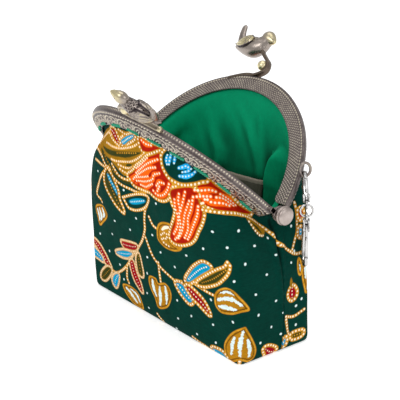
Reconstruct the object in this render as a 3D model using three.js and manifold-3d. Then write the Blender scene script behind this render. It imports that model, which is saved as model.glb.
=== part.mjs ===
// Kiss-lock frame purse standing open on its flat base.
// Millimetres, +Z up, X along the hinge line, front panel towards -Y.
// Origin: centre of the base, on the surface that the purse stands on.
import * as THREE from 'three';
import { mergeVertices } from 'three/addons/utils/BufferGeometryUtils.js';
import Module from 'manifold-3d';

const wasm = await Module();
wasm.setup();

// ---------------------------------------------------------------- driving sizes
const ARCH_R = 52.1;          // outer radius of each half-round frame half
const HINGE_Z = 61.3;         // height of the hinge axis above the base
const OPEN_REAR_DEG = 43.2;   // tilt of the rear half from upright
const OPEN_FRONT_DEG = 44.5;  // tilt of the front half from upright

const FLANGE_W = 7.0;         // inner flange, rim to free edge
const PLATE_W = 6.9;          // outer plate, rim to free edge
const RIM_N = 2.7;            // channel depth at the rim
const PLATE_N = 5.4;          // outer plate's free edge, from the mating plane
const MATE_GAP = 0.15;        // half of the gap between the closed halves
const METAL_T = 0.75;         // sheet thickness of the channel
const ARCH_START_U = 4.2;     // the channel begins this far above the hinge axis
const ARCH_STEPS = 28;

const EAR_R = 3.2, EAR_T = 0.85, EAR_HOLE_R = 1.5;
const EAR_IN_X = 51.15;       // inner face of the inner ear
const EAR_OUT_X = 52.45;      // inner face of the outer ear
const RIVET_R = 1.15, RIVET_CAP_R = 3.7, RIVET_SEGMENTS = 18;

const BASE_HALF_W = 51.6, BASE_HALF_D = 19.7, BASE_CORNER_R = 3.2;
const BASE_EDGE_Z = 1.5;      // height of the rounding between wall and base
const SEAM_BASE_Y = 3.0;      // the side seam meets the base a little behind the middle
const CLOTH_T = 1.1;          // printed outer
const LINING_GAP = 0.4;
const LINING_T = 1.0;
const EDGE_D = 5.0;           // cloth edge inside the channel, from the rim
const MOUTH_D = 8.0;          // cloth just clear of the channel, from the rim

const LOOP_T_DEG = 23;        // side loop's place on the rear half, from the right hinge
const RING_R = 2.55, RING_WIRE_R = 0.45;
const UPPER_CLASP_L = 13.0, LOWER_CLASP_L = 20.5;
const CHARM_FORWARD = 5.2;    // the upper clasp leans out over the cloth's shoulder, along its own flat
const CHARM_SIDE = 0.6;       // and a little across it
const CHARM_TURN_DEG = -38.5; // direction of the clasps' flat side, about Z

const COLOURS = {
  cloth: 0x0b4236, lining: 0x0a7a56, pocket: 0x4a4038,
  bronze: 0x8b8078, silver: 0xc9c9cc,
};

// ---------------------------------------------------------------- helpers
const rad = THREE.MathUtils.degToRad;
const vec = (x, y, z) => new THREE.Vector3(x, y, z);

function material(colour, roughness, metalness) {
  return new THREE.MeshStandardMaterial({ color: colour, roughness, metalness });
}

// closed three.js geometry -> solid for joining and cutting
function solid(geometry, matrix) {
  let g = geometry.index ? geometry.clone() : geometry;
  if (matrix) g = g.clone().applyMatrix4(matrix);
  g.deleteAttribute('normal');
  g.deleteAttribute('uv');
  g = mergeVertices(g, 1e-4);
  return new wasm.Manifold(new wasm.Mesh({
    numProp: 3,
    vertProperties: new Float32Array(g.attributes.position.array),
    triVerts: new Uint32Array(g.index.array),
  }));
}

function geometryOf(manifold) {
  const m = manifold.getMesh();
  const g = new THREE.BufferGeometry();
  g.setAttribute('position', new THREE.BufferAttribute(new Float32Array(m.vertProperties), 3));
  g.setIndex(new THREE.BufferAttribute(new Uint32Array(m.triVerts), 1));
  return g;
}

const unite = (list) => list.reduce((a, b) => a.add(b));

// move, turn and scale in one matrix
function place(position, euler = [0, 0, 0], scale = [1, 1, 1]) {
  return new THREE.Matrix4().compose(
    position,
    new THREE.Quaternion().setFromEuler(new THREE.Euler(rad(euler[0]), rad(euler[1]), rad(euler[2]))),
    vec(...scale));
}

// solid through a row of closed rings with the same number of points, flat ends
function loft(rings) {
  const n = rings[0].length, pos = [], idx = [];
  rings.forEach((ring) => ring.forEach((p) => pos.push(p.x, p.y, p.z)));
  for (let r = 0; r + 1 < rings.length; r++) {
    for (let i = 0; i < n; i++) {
      const a = r * n + i, b = r * n + (i + 1) % n, c = a + n, d = b + n;
      idx.push(a, b, d, a, d, c);
    }
  }
  const cap = (ring, first, flip) => {
    const o = ring[0], ex = ring[1].clone().sub(o).normalize();
    let nz = vec(0, 0, 0);
    for (let i = 1; i + 1 < n; i++) {
      nz.add(ring[i].clone().sub(o).cross(ring[i + 1].clone().sub(o)));
    }
    nz.normalize();
    const ey = nz.clone().cross(ex);
    const flat = ring.map((p) => new THREE.Vector2(p.clone().sub(o).dot(ex), p.clone().sub(o).dot(ey)));
    THREE.ShapeUtils.triangulateShape(flat, []).forEach(([a, b, c]) => {
      idx.push(...(flip ? [first + a, first + c, first + b] : [first + a, first + b, first + c]));
    });
  };
  cap(rings[0], 0, true);
  cap(rings[rings.length - 1], (rings.length - 1) * n, false);
  const g = new THREE.BufferGeometry();
  g.setAttribute('position', new THREE.Float32BufferAttribute(pos, 3));
  g.setIndex(idx);
  return outward(g);
}

// turn a closed geometry the right way round
function outward(g) {
  const p = g.attributes.position, i = g.index;
  let v = 0;
  const a = vec(0, 0, 0), b = vec(0, 0, 0), c = vec(0, 0, 0);
  for (let k = 0; k < i.count; k += 3) {
    a.fromBufferAttribute(p, i.getX(k)); b.fromBufferAttribute(p, i.getX(k + 1)); c.fromBufferAttribute(p, i.getX(k + 2));
    v += a.dot(b.clone().cross(c));
  }
  if (v < 0) {
    for (let k = 0; k < i.count; k += 3) {
      const t = i.getX(k + 1); i.setX(k + 1, i.getX(k + 2)); i.setX(k + 2, t);
    }
  }
  return g;
}

// round bar along a curve, with flat ends
function bar(points, radius, steps, sides = 8, squash = 1, closed = false) {
  const curve = new THREE.CatmullRomCurve3(points, closed, 'catmullrom', 0.5);
  const shape = new THREE.Shape();
  for (let k = 0; k < sides; k++) {
    const a = (k + 0.5) / sides * 2 * Math.PI, x = radius * Math.cos(a), y = radius * squash * Math.sin(a);
    k ? shape.lineTo(x, y) : shape.moveTo(x, y);
  }
  shape.closePath();
  return new THREE.ExtrudeGeometry(shape, { steps, extrudePath: curve, bevelEnabled: false });
}

// value of a named column in a table of rows, smoothly between the rows
function lookup(rows, key, at, column) {
  let k = 0;
  while (k + 2 < rows.length && at > rows[k + 1][key]) k++;
  const [p, a, b, q] = [k - 1, k, k + 1, k + 2].map((i) => rows[THREE.MathUtils.clamp(i, 0, rows.length - 1)]);
  const h = b[key] - a[key], f = THREE.MathUtils.clamp((at - a[key]) / h, 0, 1);
  const slope = (m, n) => (m === n ? 0 : (n[column] - m[column]) / (n[key] - m[key]));
  const sa = k ? slope(p, b) : 0, sb = k + 2 < rows.length ? slope(a, q) : 0;
  return a[column] * (1 + 2 * f) * (1 - f) ** 2 + b[column] * f * f * (3 - 2 * f)
    + h * (sa * f * (1 - f) ** 2 - sb * f * f * (1 - f));
}

// ---------------------------------------------------------------- frame halves
// A half is drawn in its own flat frame: x along the hinge, u up the arch,
// and n out of the purse, away from the mating plane (local z is -n).
const flat = (x, u, n) => vec(x, u, -n);
const polar = (r, tDeg, n) => flat(r * Math.cos(rad(tDeg)), r * Math.sin(rad(tDeg)), n);

// channel section: d inwards from the rim, n away from the mating plane
const CHANNEL_SECTION = [
  { d: FLANGE_W, n: MATE_GAP },
  { d: 0.5, n: MATE_GAP },
  { d: 0.0, n: MATE_GAP + 0.5 },
  { d: 0.0, n: RIM_N - 0.4 },
  { d: 0.35, n: RIM_N + 0.1 },
  { d: PLATE_W, n: PLATE_N },
  { d: PLATE_W + 0.2, n: PLATE_N - METAL_T },
  { d: 1.0, n: RIM_N - 0.35 },
  { d: 0.9, n: MATE_GAP + METAL_T + 0.1 },
  { d: FLANGE_W, n: MATE_GAP + METAL_T },
];

function channel() {
  const t0 = THREE.MathUtils.radToDeg(Math.asin(ARCH_START_U / ARCH_R));
  const rings = [];
  for (let s = 0; s <= ARCH_STEPS; s++) {
    const t = t0 + (180 - 2 * t0) * s / ARCH_STEPS;
    rings.push(CHANNEL_SECTION.map(({ d, n }) => polar(ARCH_R - d, t, n)));
  }
  return solid(loft(rings));
}

// hinge ear: a drilled disc across X, with a neck up to the channel's rim
function ear(sign, x0, bridge) {
  const disc = new THREE.CylinderGeometry(EAR_R, EAR_R, EAR_T, 14);
  let e = solid(disc, place(vec(sign * (x0 + EAR_T / 2), 0, 0), [0, 0, 90]));
  const neckN = [0.35, 2.35];
  const neck = new THREE.BoxGeometry(EAR_T, 6.6, neckN[1] - neckN[0]);
  e = e.add(solid(neck, place(vec(sign * (x0 + EAR_T / 2), 3.3, -(neckN[0] + neckN[1]) / 2))));
  if (bridge) {
    const width = x0 + EAR_T - EAR_IN_X;
    const step = new THREE.BoxGeometry(width, 2.6, neckN[1] - neckN[0]);
    e = e.add(solid(step, place(vec(sign * (EAR_IN_X + width / 2), 5.3, -(neckN[0] + neckN[1]) / 2))));
  }
  const drill = new THREE.CylinderGeometry(EAR_HOLE_R, EAR_HOLE_R, 8, 12);
  return e.subtract(solid(drill, place(vec(sign * (x0 + EAR_T / 2), 0, 0), [0, 0, 90])));
}

// kiss-lock: a strip soldered on the rim curls up to a bird, with a ball in the curl
const STRIP = { xFrom: -24, xTo: -6.5, width: 1.25, depth: 0.55, n: 1.35 };
const CURL = [            // centre line of the curl after the strip
  { x: -2.9, u: 54.0 }, { x: -0.7, u: 56.4 }, { x: -1.6, u: 59.4 },
  { x: -5.2, u: 61.6 }, { x: -8.4, u: 63.6 }, { x: -11.5, u: 66.0 },
];
const BALL = { x: -4.9, u: 57.6, r: 2.15, n: 1.0 };
const BIRD = {
  n: 1.2,
  body: { x: -15.6, u: 65.4, long: 8.6, high: 5.0, wide: 4.4, tilt: 20 },
  neck: { x: -12.6, u: 69.0, r: 3.5 },
  head: { x: -11.0, u: 71.4, r: 3.25 },
  beak: { x: -6.1, u: 70.6, r: 1.5, long: 4.2 },
  wing: { x: -19.6, u: 66.2, long: 7.6, high: 3.0, wide: 1.6, tilt: 24, splay: 3.4 },
  tail: { x: -24.6, u: 69.8, long: 6.6, high: 2.0, wide: 1.3, tilt: 128 },
};

// the front bird leans further over and sits lower on its curl
const SET_REAR = { turn: 0, drop: 0, out: 0 };
const SET_FRONT = { turn: 11, drop: 2.6, out: 0.6 };
const CURL_ROOT = { x: -4.5, u: 53.0 };

function birdClasp({ turn, drop, out }) {
  // everything past the curl's root turns about it
  const c = Math.cos(rad(turn)), s = Math.sin(rad(turn));
  const set = (x, u, n) => {
    const dx = x - CURL_ROOT.x, du = u - CURL_ROOT.u, far = Math.min(1, Math.max(0, du / 8));
    return flat(CURL_ROOT.x + c * dx - s * du - far * out, CURL_ROOT.u + s * dx + c * du - far * drop, n);
  };
  const ellipsoid = ({ x, u, long, high, wide, tilt }, n, segments) => solid(
    new THREE.SphereGeometry(1, ...segments), place(set(x, u, n), [0, 0, tilt + turn], [long, high, wide]));
  const parts = [], path = [];
  for (let k = 0; k <= 4; k++) {
    const x = THREE.MathUtils.lerp(STRIP.xFrom, STRIP.xTo, k / 4);
    const r = ARCH_R + STRIP.depth * 0.6;
    path.push(flat(x, Math.sqrt(r * r - x * x), STRIP.n));
  }
  CURL.forEach(({ x, u }) => path.push(set(x, u, STRIP.n)));
  parts.push(solid(bar(path, 1.0, 18, 6)));
  parts.push(solid(new THREE.SphereGeometry(BALL.r, 8, 6), place(set(BALL.x, BALL.u, BALL.n))));
  parts.push(solid(bar([set(BALL.x, BALL.u, BALL.n), set(BALL.x + 2, BALL.u + 0.2, 1.2), set(-1.2, 58.2, STRIP.n)], 0.9, 2, 6)));
  const { body, neck, head, beak, wing, tail, n } = BIRD;
  parts.push(ellipsoid(body, n, [10, 7]));
  parts.push(solid(new THREE.SphereGeometry(neck.r, 8, 5), place(set(neck.x, neck.u, n))));
  parts.push(solid(new THREE.SphereGeometry(head.r, 10, 7), place(set(head.x, head.u, n))));
  parts.push(solid(new THREE.ConeGeometry(beak.r, beak.long, 7),
    place(set((head.x + beak.x * 2) / 3, (head.u + beak.u * 2) / 3, n), [0, 0, turn - 98])));
  for (const side of [-1, 1]) parts.push(ellipsoid(wing, n + side * wing.splay, [8, 5]));
  parts.push(ellipsoid(tail, n, [7, 5]));
  return unite(parts);
}

// side loop on the rear half, for the charm: an upright oval ring soldered to the rim
const toWorld = (x, u, n, tiltDeg) => {
  const a = rad(tiltDeg);
  return vec(x, u * Math.sin(a) + n * Math.cos(a), HINGE_Z + u * Math.cos(a) - n * Math.sin(a));
};
const loopPoint = (() => {
  const r = ARCH_R + 1.6, t = rad(LOOP_T_DEG);
  return toWorld(r * Math.cos(t), r * Math.sin(t), 1.3, OPEN_REAR_DEG);
})();
const LOOP = { halfW: 2.1, halfH: 2.8, wire: 0.6 };
const charmAcross = vec(Math.cos(rad(CHARM_TURN_DEG + 90)), Math.sin(rad(CHARM_TURN_DEG + 90)), 0);

function sideLoop() {
  const ring = [];
  for (let k = 0; k < 10; k++) {
    const a = k / 10 * 2 * Math.PI;
    ring.push(loopPoint.clone()
      .addScaledVector(charmAcross, LOOP.halfW * Math.cos(a))
      .add(vec(0, 0, LOOP.halfH * Math.sin(a))));
  }
  return solid(torusAlong(ring, LOOP.wire, 16, 6));
}

// closed round wire through a ring of points in one plane
function torusAlong(points, radius, steps, sides) {
  const curve = new THREE.CatmullRomCurve3(points, true);
  const c = points.reduce((s, p) => s.add(p), vec(0, 0, 0)).divideScalar(points.length);
  const nz = points[0].clone().sub(c).cross(points[2].clone().sub(c)).normalize();
  const pos = [], idx = [];
  for (let s = 0; s < steps; s++) {
    const p = curve.getPoint(s / steps), out = curve.getTangent(s / steps).cross(nz).normalize();
    for (let k = 0; k < sides; k++) {
      const a = k / sides * 2 * Math.PI;
      const q = p.clone().addScaledVector(out, radius * Math.cos(a)).addScaledVector(nz, radius * Math.sin(a));
      pos.push(q.x, q.y, q.z);
      const s2 = (s + 1) % steps, k2 = (k + 1) % sides;
      idx.push(s * sides + k, s2 * sides + k, s2 * sides + k2, s * sides + k, s2 * sides + k2, s * sides + k2);
    }
  }
  const g = new THREE.BufferGeometry();
  g.setAttribute('position', new THREE.Float32BufferAttribute(pos, 3));
  g.setIndex(idx);
  return outward(g);
}

const half = unite([channel(), ear(1, EAR_IN_X, false), ear(-1, EAR_OUT_X, true)]);

// ---------------------------------------------------------------- cloth walls
// Columns of cloth run from the channel down to the base. For a column at arch
// angle t: a lip just below the channel, then a curve to the base whose two
// pulls are given from the mouth (r, n: in the arch's frame) and from the base.
const CLOTH_FRONT = [
  { t: 0,  lipR: 0.0,  lipN: 2.6, pullR: 4.0,   pullN: 5.0,  rise: 40, out: 2.0 },
  { t: 12, lipR: -0.2, lipN: 2.8, pullR: 8.0,   pullN: 8.0,  rise: 44, out: 0.6 },
  { t: 24, lipR: -0.3, lipN: 2.8, pullR: 9.5,   pullN: 10.0, rise: 46, out: -0.2 },
  { t: 38, lipR: -0.6, lipN: 2.6, pullR: 2.5,   pullN: 13.5, rise: 38, out: 0.4 },
  { t: 58, lipR: -1.6, lipN: 2.2, pullR: -12.0, pullN: 16.0, rise: 32, out: 2.8 },
  { t: 90, lipR: -2.5, lipN: 1.7, pullR: -23.0, pullN: 16.5, rise: 29, out: 5.5 },
];
const CLOTH_REAR = [
  { t: 0,  lipR: 0.0,  lipN: 2.6, pullR: 3.0,   pullN: 5.0,  rise: 40, out: 1.0 },
  { t: 12, lipR: -0.2, lipN: 2.8, pullR: 5.0,   pullN: 8.0,  rise: 42, out: -1.5 },
  { t: 24, lipR: -0.3, lipN: 2.8, pullR: 6.0,   pullN: 10.0, rise: 42, out: -3.0 },
  { t: 38, lipR: -0.6, lipN: 2.6, pullR: -2.0,  pullN: 15.0, rise: 36, out: -1.0 },
  { t: 58, lipR: -1.6, lipN: 2.2, pullR: -14.0, pullN: 16.5, rise: 32, out: 2.0 },
  { t: 90, lipR: -2.5, lipN: 1.7, pullR: -23.0, pullN: 16.5, rise: 29, out: 5.0 },
];
const ARCH_COLUMNS = [1, 6, 11, 16, 20, 24, 28, 33, 40, 50, 63, 77, 90];
const CLOTH_ROWS = [0, 0.11, 0.23, 0.36, 0.5, 0.66, 0.83, 1];
const CHANNEL_N = { edge: 3.5, mouth: 4.15, edgeStep: 0.96, mouthStep: 1.0 };

// point and outward direction on the base outline, s mm round from the side's middle
function baseOutline(s) {
  const side = BASE_HALF_D - BASE_CORNER_R, arc = BASE_CORNER_R * Math.PI / 2;
  if (s <= side) return { x: BASE_HALF_W, y: s, nx: 1, ny: 0 };
  if (s <= side + arc) {
    const a = (s - side) / BASE_CORNER_R;
    return {
      x: BASE_HALF_W - BASE_CORNER_R + BASE_CORNER_R * Math.cos(a),
      y: side + BASE_CORNER_R * Math.sin(a), nx: Math.cos(a), ny: Math.sin(a),
    };
  }
  return { x: BASE_HALF_W - BASE_CORNER_R - (s - side - arc), y: BASE_HALF_D, nx: 0, ny: 1 };
}
const BASE_QUARTER = BASE_HALF_D + BASE_HALF_W - 2 * BASE_CORNER_R + BASE_CORNER_R * Math.PI / 2;

const bezier = (a, b, c, d, f) => a.clone().multiplyScalar((1 - f) ** 3)
  .addScaledVector(b, 3 * f * (1 - f) ** 2).addScaledVector(c, 3 * f * f * (1 - f)).addScaledVector(d, f ** 3);

// the wall's outside at one column; q is how deep below it the wanted face lies
function archColumn(t, front, right, q) {
  const rows = front ? CLOTH_FRONT : CLOTH_REAR;
  const put = (x, y, z) => vec(right ? x : -x, front ? -y : y, z);
  const arch = (r, n) => { const p = toWorld(r * Math.cos(rad(t)), r * Math.sin(rad(t)), n, front ? OPEN_FRONT_DEG : OPEN_REAR_DEG); return put(p.x, p.y, p.z); };
  const get = (c) => lookup(rows, 't', t, c);
  const rm = ARCH_R - MOUTH_D, nm = CHANNEL_N.mouth;
  const lip = arch(rm + get('lipR'), nm + get('lipN'));
  const c1 = arch(rm + get('pullR'), nm + get('pullN'));
  const b = baseOutline(t / 90 * BASE_QUARTER);
  const shift = (front ? -1 : 1) * (1 - THREE.MathUtils.smoothstep(t, 0, 16)) * SEAM_BASE_Y;
  const base = put(b.x, b.y + shift, BASE_EDGE_Z);
  const c2 = put(b.x + b.nx * get('out'), b.y + shift + b.ny * get('out'), BASE_EDGE_Z + get('rise'));
  const turnIn = (1 - THREE.MathUtils.smoothstep(t, 0, 7)) * (0.7 - 0.55 * q);   // round the seam's top
  const col = [arch(ARCH_R - EDGE_D + turnIn * 0.5, CHANNEL_N.edge - q * CHANNEL_N.edgeStep), arch(rm + turnIn, nm - q * CHANNEL_N.mouthStep)];
  CLOTH_ROWS.forEach((f) => col.push(bezier(lip, c1, c2, base, f)));
  col.push(put(b.x - b.nx * 0.25, b.y + shift - b.ny * 0.25, 0.4));
  col.push(put(b.x - b.nx * 1.1, b.y + shift - b.ny * 1.1, 0));
  return col;
}

// the side seam's column, at the hinge
function seamColumn(right, q) {
  const put = (x, y, z) => vec(right ? x : -x, y, z);
  const col = [put(ARCH_R - EDGE_D + 0.4 - q, 0, 58.3), put(ARCH_R - MOUTH_D + 1.4 - q, 0, 56.6)];
  const lip = put(46.4, 0.4, 53.6), c1 = put(50.5, 1.5, 49), c2 = put(54.0, 5.0, 34);
  const base = put(BASE_HALF_W, SEAM_BASE_Y, BASE_EDGE_Z);
  CLOTH_ROWS.forEach((f) => col.push(bezier(lip, c1, c2, base, f)));
  col.push(put(BASE_HALF_W - 0.25, SEAM_BASE_Y, 0.4));
  col.push(put(BASE_HALF_W - 1.1, SEAM_BASE_Y, 0));
  return col;
}

// all columns round the purse: right seam, front, left seam, rear
function clothFace(q) {
  const cols = [];
  const down = [...ARCH_COLUMNS], up = [...ARCH_COLUMNS].slice(0, -1).reverse();
  cols.push(seamColumn(true, q));
  down.forEach((t) => cols.push(archColumn(t, true, true, q)));
  up.forEach((t) => cols.push(archColumn(t, true, false, q)));
  cols.push(seamColumn(false, q));
  down.forEach((t) => cols.push(archColumn(t, false, false, q)));
  up.forEach((t) => cols.push(archColumn(t, false, true, q)));
  const n = cols.length, m = cols[0].length;
  const normals = cols.map((col, i) => col.map((p, j) => {
    const along = cols[(i + n - 1) % n][j].clone().sub(cols[(i + 1) % n][j]);
    const downw = col[Math.max(j - 1, 2)].clone().sub(col[Math.min(j + 1, m - 1)]);
    return along.cross(downw).normalize();
  }));
  return cols.map((col, i) => col.map((p, j) => {
    if (j < 2 || q === 0) return p;
    if (j === m - 1) {   // the flat bottom draws in with its depth, inside the rounded edge
      const side = vec(normals[i][m - 4].x, normals[i][m - 4].y, 0).normalize();
      return p.clone().addScaledVector(side, -1.15 * q).add(vec(0, 0, q));
    }
    return p.clone().addScaledVector(normals[i][j], -q);
  }));
}

// closed wall between two faces, with a flat bottom and an open top
function clothWall(qOut, qIn) {
  const faces = [clothFace(qOut), clothFace(qIn)];
  const n = faces[0].length, m = faces[0][0].length, pos = [], idx = [];
  const add = (p) => { pos.push(p.x, p.y, p.z); return pos.length / 3 - 1; };
  const id = faces.map((cols) => cols.map((col) => col.map(add)));
  faces.forEach((cols, side) => {
    const quad = (a, b, c, d) => (side ? idx.push(a, c, b, a, d, c) : idx.push(a, b, c, a, c, d));
    for (let i = 0; i < n; i++) {
      const k = (i + 1) % n;
      for (let j = 0; j + 1 < m; j++) quad(id[side][i][j], id[side][i][j + 1], id[side][k][j + 1], id[side][k][j]);
    }
    const centre = add(vec(0, 0, side ? qIn : qOut));
    for (let i = 0; i < n; i++) {
      const a = id[side][i][m - 1], b = id[side][(i + 1) % n][m - 1];
      side ? idx.push(centre, a, b) : idx.push(centre, b, a);
    }
  });
  for (let i = 0; i < n; i++) {
    const k = (i + 1) % n;
    idx.push(id[0][i][0], id[0][k][0], id[1][k][0], id[0][i][0], id[1][k][0], id[1][i][0]);
  }
  const g = new THREE.BufferGeometry();
  g.setAttribute('position', new THREE.Float32BufferAttribute(pos, 3));
  g.setIndex(idx);
  return outward(g);
}

// ---------------------------------------------------------------- inner pocket
// a patch over the rear lining: columns across X, from its top edge down
const POCKET = { halfW: 13, top: 57, bottom: 24, corner: 3, thick: 1.0, gap: 0.35, edgeRoll: 0.5 };
const liningDepth = CLOTH_T + LINING_GAP + LINING_T;

// the rear lining's inner face at a given x and z, found on the modelled face
const liningInner = clothFace(liningDepth);
function rearLiningY(x, z) {
  let best = 1e9, n = liningInner.length;
  for (let i = n / 2; i < n; i++) {
    const a = liningInner[i], b = liningInner[(i + 1) % n];
    for (let j = 2; j + 1 < a.length - 2; j++) {
      for (const [p, r, s] of [[a[j], a[j + 1], b[j + 1]], [a[j], b[j + 1], b[j]]]) {
        const det = (r.x - p.x) * (s.z - p.z) - (s.x - p.x) * (r.z - p.z);
        if (Math.abs(det) < 1e-9) continue;
        const f = ((x - p.x) * (s.z - p.z) - (s.x - p.x) * (z - p.z)) / det;
        const h = ((r.x - p.x) * (z - p.z) - (x - p.x) * (r.z - p.z)) / det;
        if (f >= -1e-6 && h >= -1e-6 && f + h <= 1 + 1e-6) best = Math.min(best, p.y + f * (r.y - p.y) + h * (s.y - p.y));
      }
    }
  }
  return best;
}

function pocketPatch() {
  const nx = 8, nz = 6, pos = [], idx = [], grid = [];
  for (const side of [0, 1]) {
    for (let i = 0; i <= nx; i++) {
      for (let j = 0; j <= nz; j++) {
        const x = THREE.MathUtils.lerp(-POCKET.halfW, POCKET.halfW, i / nx);
        const drop = Math.max(0, Math.abs(x) - POCKET.halfW + POCKET.corner);
        const top = POCKET.top - POCKET.corner + Math.sqrt(POCKET.corner ** 2 - drop * drop * 0.98);
        const z = THREE.MathUtils.lerp(top, POCKET.bottom, j / nz);
        const y = rearLiningY(x, z) - POCKET.gap - side * (POCKET.thick + (j === 0 ? POCKET.edgeRoll : 0));
        pos.push(x, y, z);
        grid.push(grid.length);
      }
    }
  }
  const at = (side, i, j) => side * (nx + 1) * (nz + 1) + i * (nz + 1) + j;
  for (let i = 0; i < nx; i++) {
    for (let j = 0; j < nz; j++) {
      idx.push(at(0, i, j), at(0, i, j + 1), at(0, i + 1, j + 1), at(0, i, j), at(0, i + 1, j + 1), at(0, i + 1, j));
      idx.push(at(1, i, j), at(1, i + 1, j + 1), at(1, i, j + 1), at(1, i, j), at(1, i + 1, j), at(1, i + 1, j + 1));
    }
  }
  const rim = [];
  for (let i = 0; i < nx; i++) rim.push([i, 0]);
  for (let j = 0; j < nz; j++) rim.push([nx, j]);
  for (let i = nx; i > 0; i--) rim.push([i, nz]);
  for (let j = nz; j > 0; j--) rim.push([0, j]);
  rim.forEach(([i, j], k) => {
    const [i2, j2] = rim[(k + 1) % rim.length];
    idx.push(at(0, i, j), at(0, i2, j2), at(1, i2, j2), at(0, i, j), at(1, i2, j2), at(1, i, j));
  });
  const g = new THREE.BufferGeometry();
  g.setAttribute('position', new THREE.Float32BufferAttribute(pos, 3));
  g.setIndex(idx);
  return outward(g);
}

// ---------------------------------------------------------------- rivets
const RIVET_PROFILE = [       // r from the hinge axis, x outwards along it
  { r: 0, x: 49.30 }, { r: 2.2, x: 49.30 }, { r: 2.2, x: 50.70 }, { r: RIVET_R, x: 50.70 },
  { r: RIVET_R, x: 53.70 }, { r: RIVET_CAP_R, x: 53.70 }, { r: RIVET_CAP_R + 0.2, x: 54.10 },
  { r: RIVET_CAP_R + 0.2, x: 54.50 }, { r: RIVET_CAP_R - 0.3, x: 54.75 }, { r: RIVET_CAP_R - 0.3, x: 55.00 },
  { r: RIVET_CAP_R, x: 55.30 }, { r: RIVET_CAP_R - 0.1, x: 55.90 }, { r: RIVET_CAP_R - 0.8, x: 56.45 },
  { r: RIVET_CAP_R - 2.2, x: 56.70 }, { r: 0, x: 56.75 },
];
function rivet() {
  const profile = RIVET_PROFILE.map(({ r, x }) => new THREE.Vector2(r, x));
  return geometryOf(solid(new THREE.LatheGeometry(profile, RIVET_SEGMENTS)));
}

// ---------------------------------------------------------------- lobster clasps
// Drawn upright in their own plane: a across, b up from the eye's centre, c through.
// The hook is a C, open on the +a side, and the lever closes it.
const CLASP_TABLE = {         // shares of the clasp's length, for the hook's centre line
  hook: [
    { a: 0.00, b: 0.10 }, { a: -0.11, b: 0.24 }, { a: -0.165, b: 0.45 }, { a: -0.175, b: 0.68 },
    { a: -0.12, b: 0.90 }, { a: 0.0, b: 1.0 }, { a: 0.12, b: 0.93 }, { a: 0.165, b: 0.80 },
  ],
};
function claspSizes(length) {
  const k = length / 13;
  return {
    length, hookR: 0.65 * k ** 0.8, eyeR: 1.45, eyeWire: 0.5,
    pivot: { a: 0.065 * length, b: 0.22 * length }, tip: { a: 0.165 * length, b: 0.745 * length },
    cheek: 0.6, slot: 1.3, leverT: 0.75, leverW: 1.1 * Math.sqrt(k), pinR: 0.45, holeR: 0.75, endR: 1.15,
  };
}
function claspBody(length) {
  const s = claspSizes(length), parts = [];
  const pts = CLASP_TABLE.hook.map(({ a, b }) => vec(a * length, b * length, 0));
  parts.push(solid(bar(pts, s.hookR, 16, 6)));
  const eye = [];
  for (let i = 0; i < 10; i++) eye.push(vec(s.eyeR * Math.cos(i / 5 * Math.PI), s.eyeR * Math.sin(i / 5 * Math.PI), 0));
  parts.push(solid(torusAlong(eye, s.eyeWire, 12, 6)));
  // a forked heel with two cheeks carries the lever's pin
  const thick = s.slot + 2 * s.cheek;
  const heel = new THREE.Shape();
  const heelW = 1.5;
  heel.moveTo(-0.9, s.eyeR * 0.75);
  heel.lineTo(0.9, s.eyeR * 0.75);
  heel.lineTo(s.pivot.a + heelW * 0.75, s.pivot.b - heelW * 0.5);
  heel.lineTo(s.pivot.a + heelW * 0.75, s.pivot.b + heelW * 0.5);
  heel.lineTo(s.pivot.a + heelW * 0.3, s.pivot.b + heelW * 0.9);
  heel.lineTo(s.pivot.a - heelW * 0.9, s.pivot.b + heelW * 0.7);
  heel.lineTo(-0.145 * length, 0.36 * length);
  heel.lineTo(-0.135 * length, 0.25 * length);
  heel.closePath();
  const block = new THREE.ExtrudeGeometry(heel, { depth: thick, bevelEnabled: false });
  let body = unite([...parts, solid(block, place(vec(0, 0, -thick / 2)))]);
  // slot for the lever, open to the inside and the outer side
  const cut = new THREE.Shape();
  const swing = s.endR + 0.35;
  cut.absarc(s.pivot.a, s.pivot.b, swing, 0, 2 * Math.PI, false);
  body = body.subtract(solid(new THREE.ExtrudeGeometry(cut, { depth: s.slot, bevelEnabled: false, curveSegments: 10 }),
    place(vec(0, 0, -s.slot / 2))));
  const pin = new THREE.CylinderGeometry(s.pinR, s.pinR, thick, 12);
  return geometryOf(body.add(solid(pin, place(vec(s.pivot.a, s.pivot.b, 0), [90, 0, 0]))));
}
function claspLever(length) {
  const s = claspSizes(length);
  const end = solid(new THREE.CylinderGeometry(s.endR, s.endR, s.leverT, 16), place(vec(s.pivot.a, s.pivot.b, 0), [90, 0, 0]));
  const da = s.tip.a - s.pivot.a, db = s.tip.b - s.pivot.b, len = Math.hypot(da, db);
  const turn = THREE.MathUtils.radToDeg(Math.atan2(db, da));
  const arm = solid(new THREE.BoxGeometry(len, s.leverW, s.leverT),
    place(vec((s.pivot.a + s.tip.a) / 2, (s.pivot.b + s.tip.b) / 2, 0), [0, 0, turn]));
  const nub = solid(new THREE.CylinderGeometry(0.75, 0.75, s.leverT, 10),
    place(vec(s.pivot.a + da * 0.36 + 0.85, s.pivot.b + db * 0.36, 0), [90, 0, 0]));
  const hole = solid(new THREE.CylinderGeometry(s.holeR, s.holeR, 4, 14), place(vec(s.pivot.a, s.pivot.b, 0), [90, 0, 0]));
  return geometryOf(unite([end, arm, nub]).subtract(hole));
}

// ---------------------------------------------------------------- assembly
const purse = new THREE.Group();
function piece(name, geometry, mat, parent = purse) {
  const mesh = new THREE.Mesh(geometry, mat);
  mesh.name = name;
  parent.add(mesh);
  return mesh;
}

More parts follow.
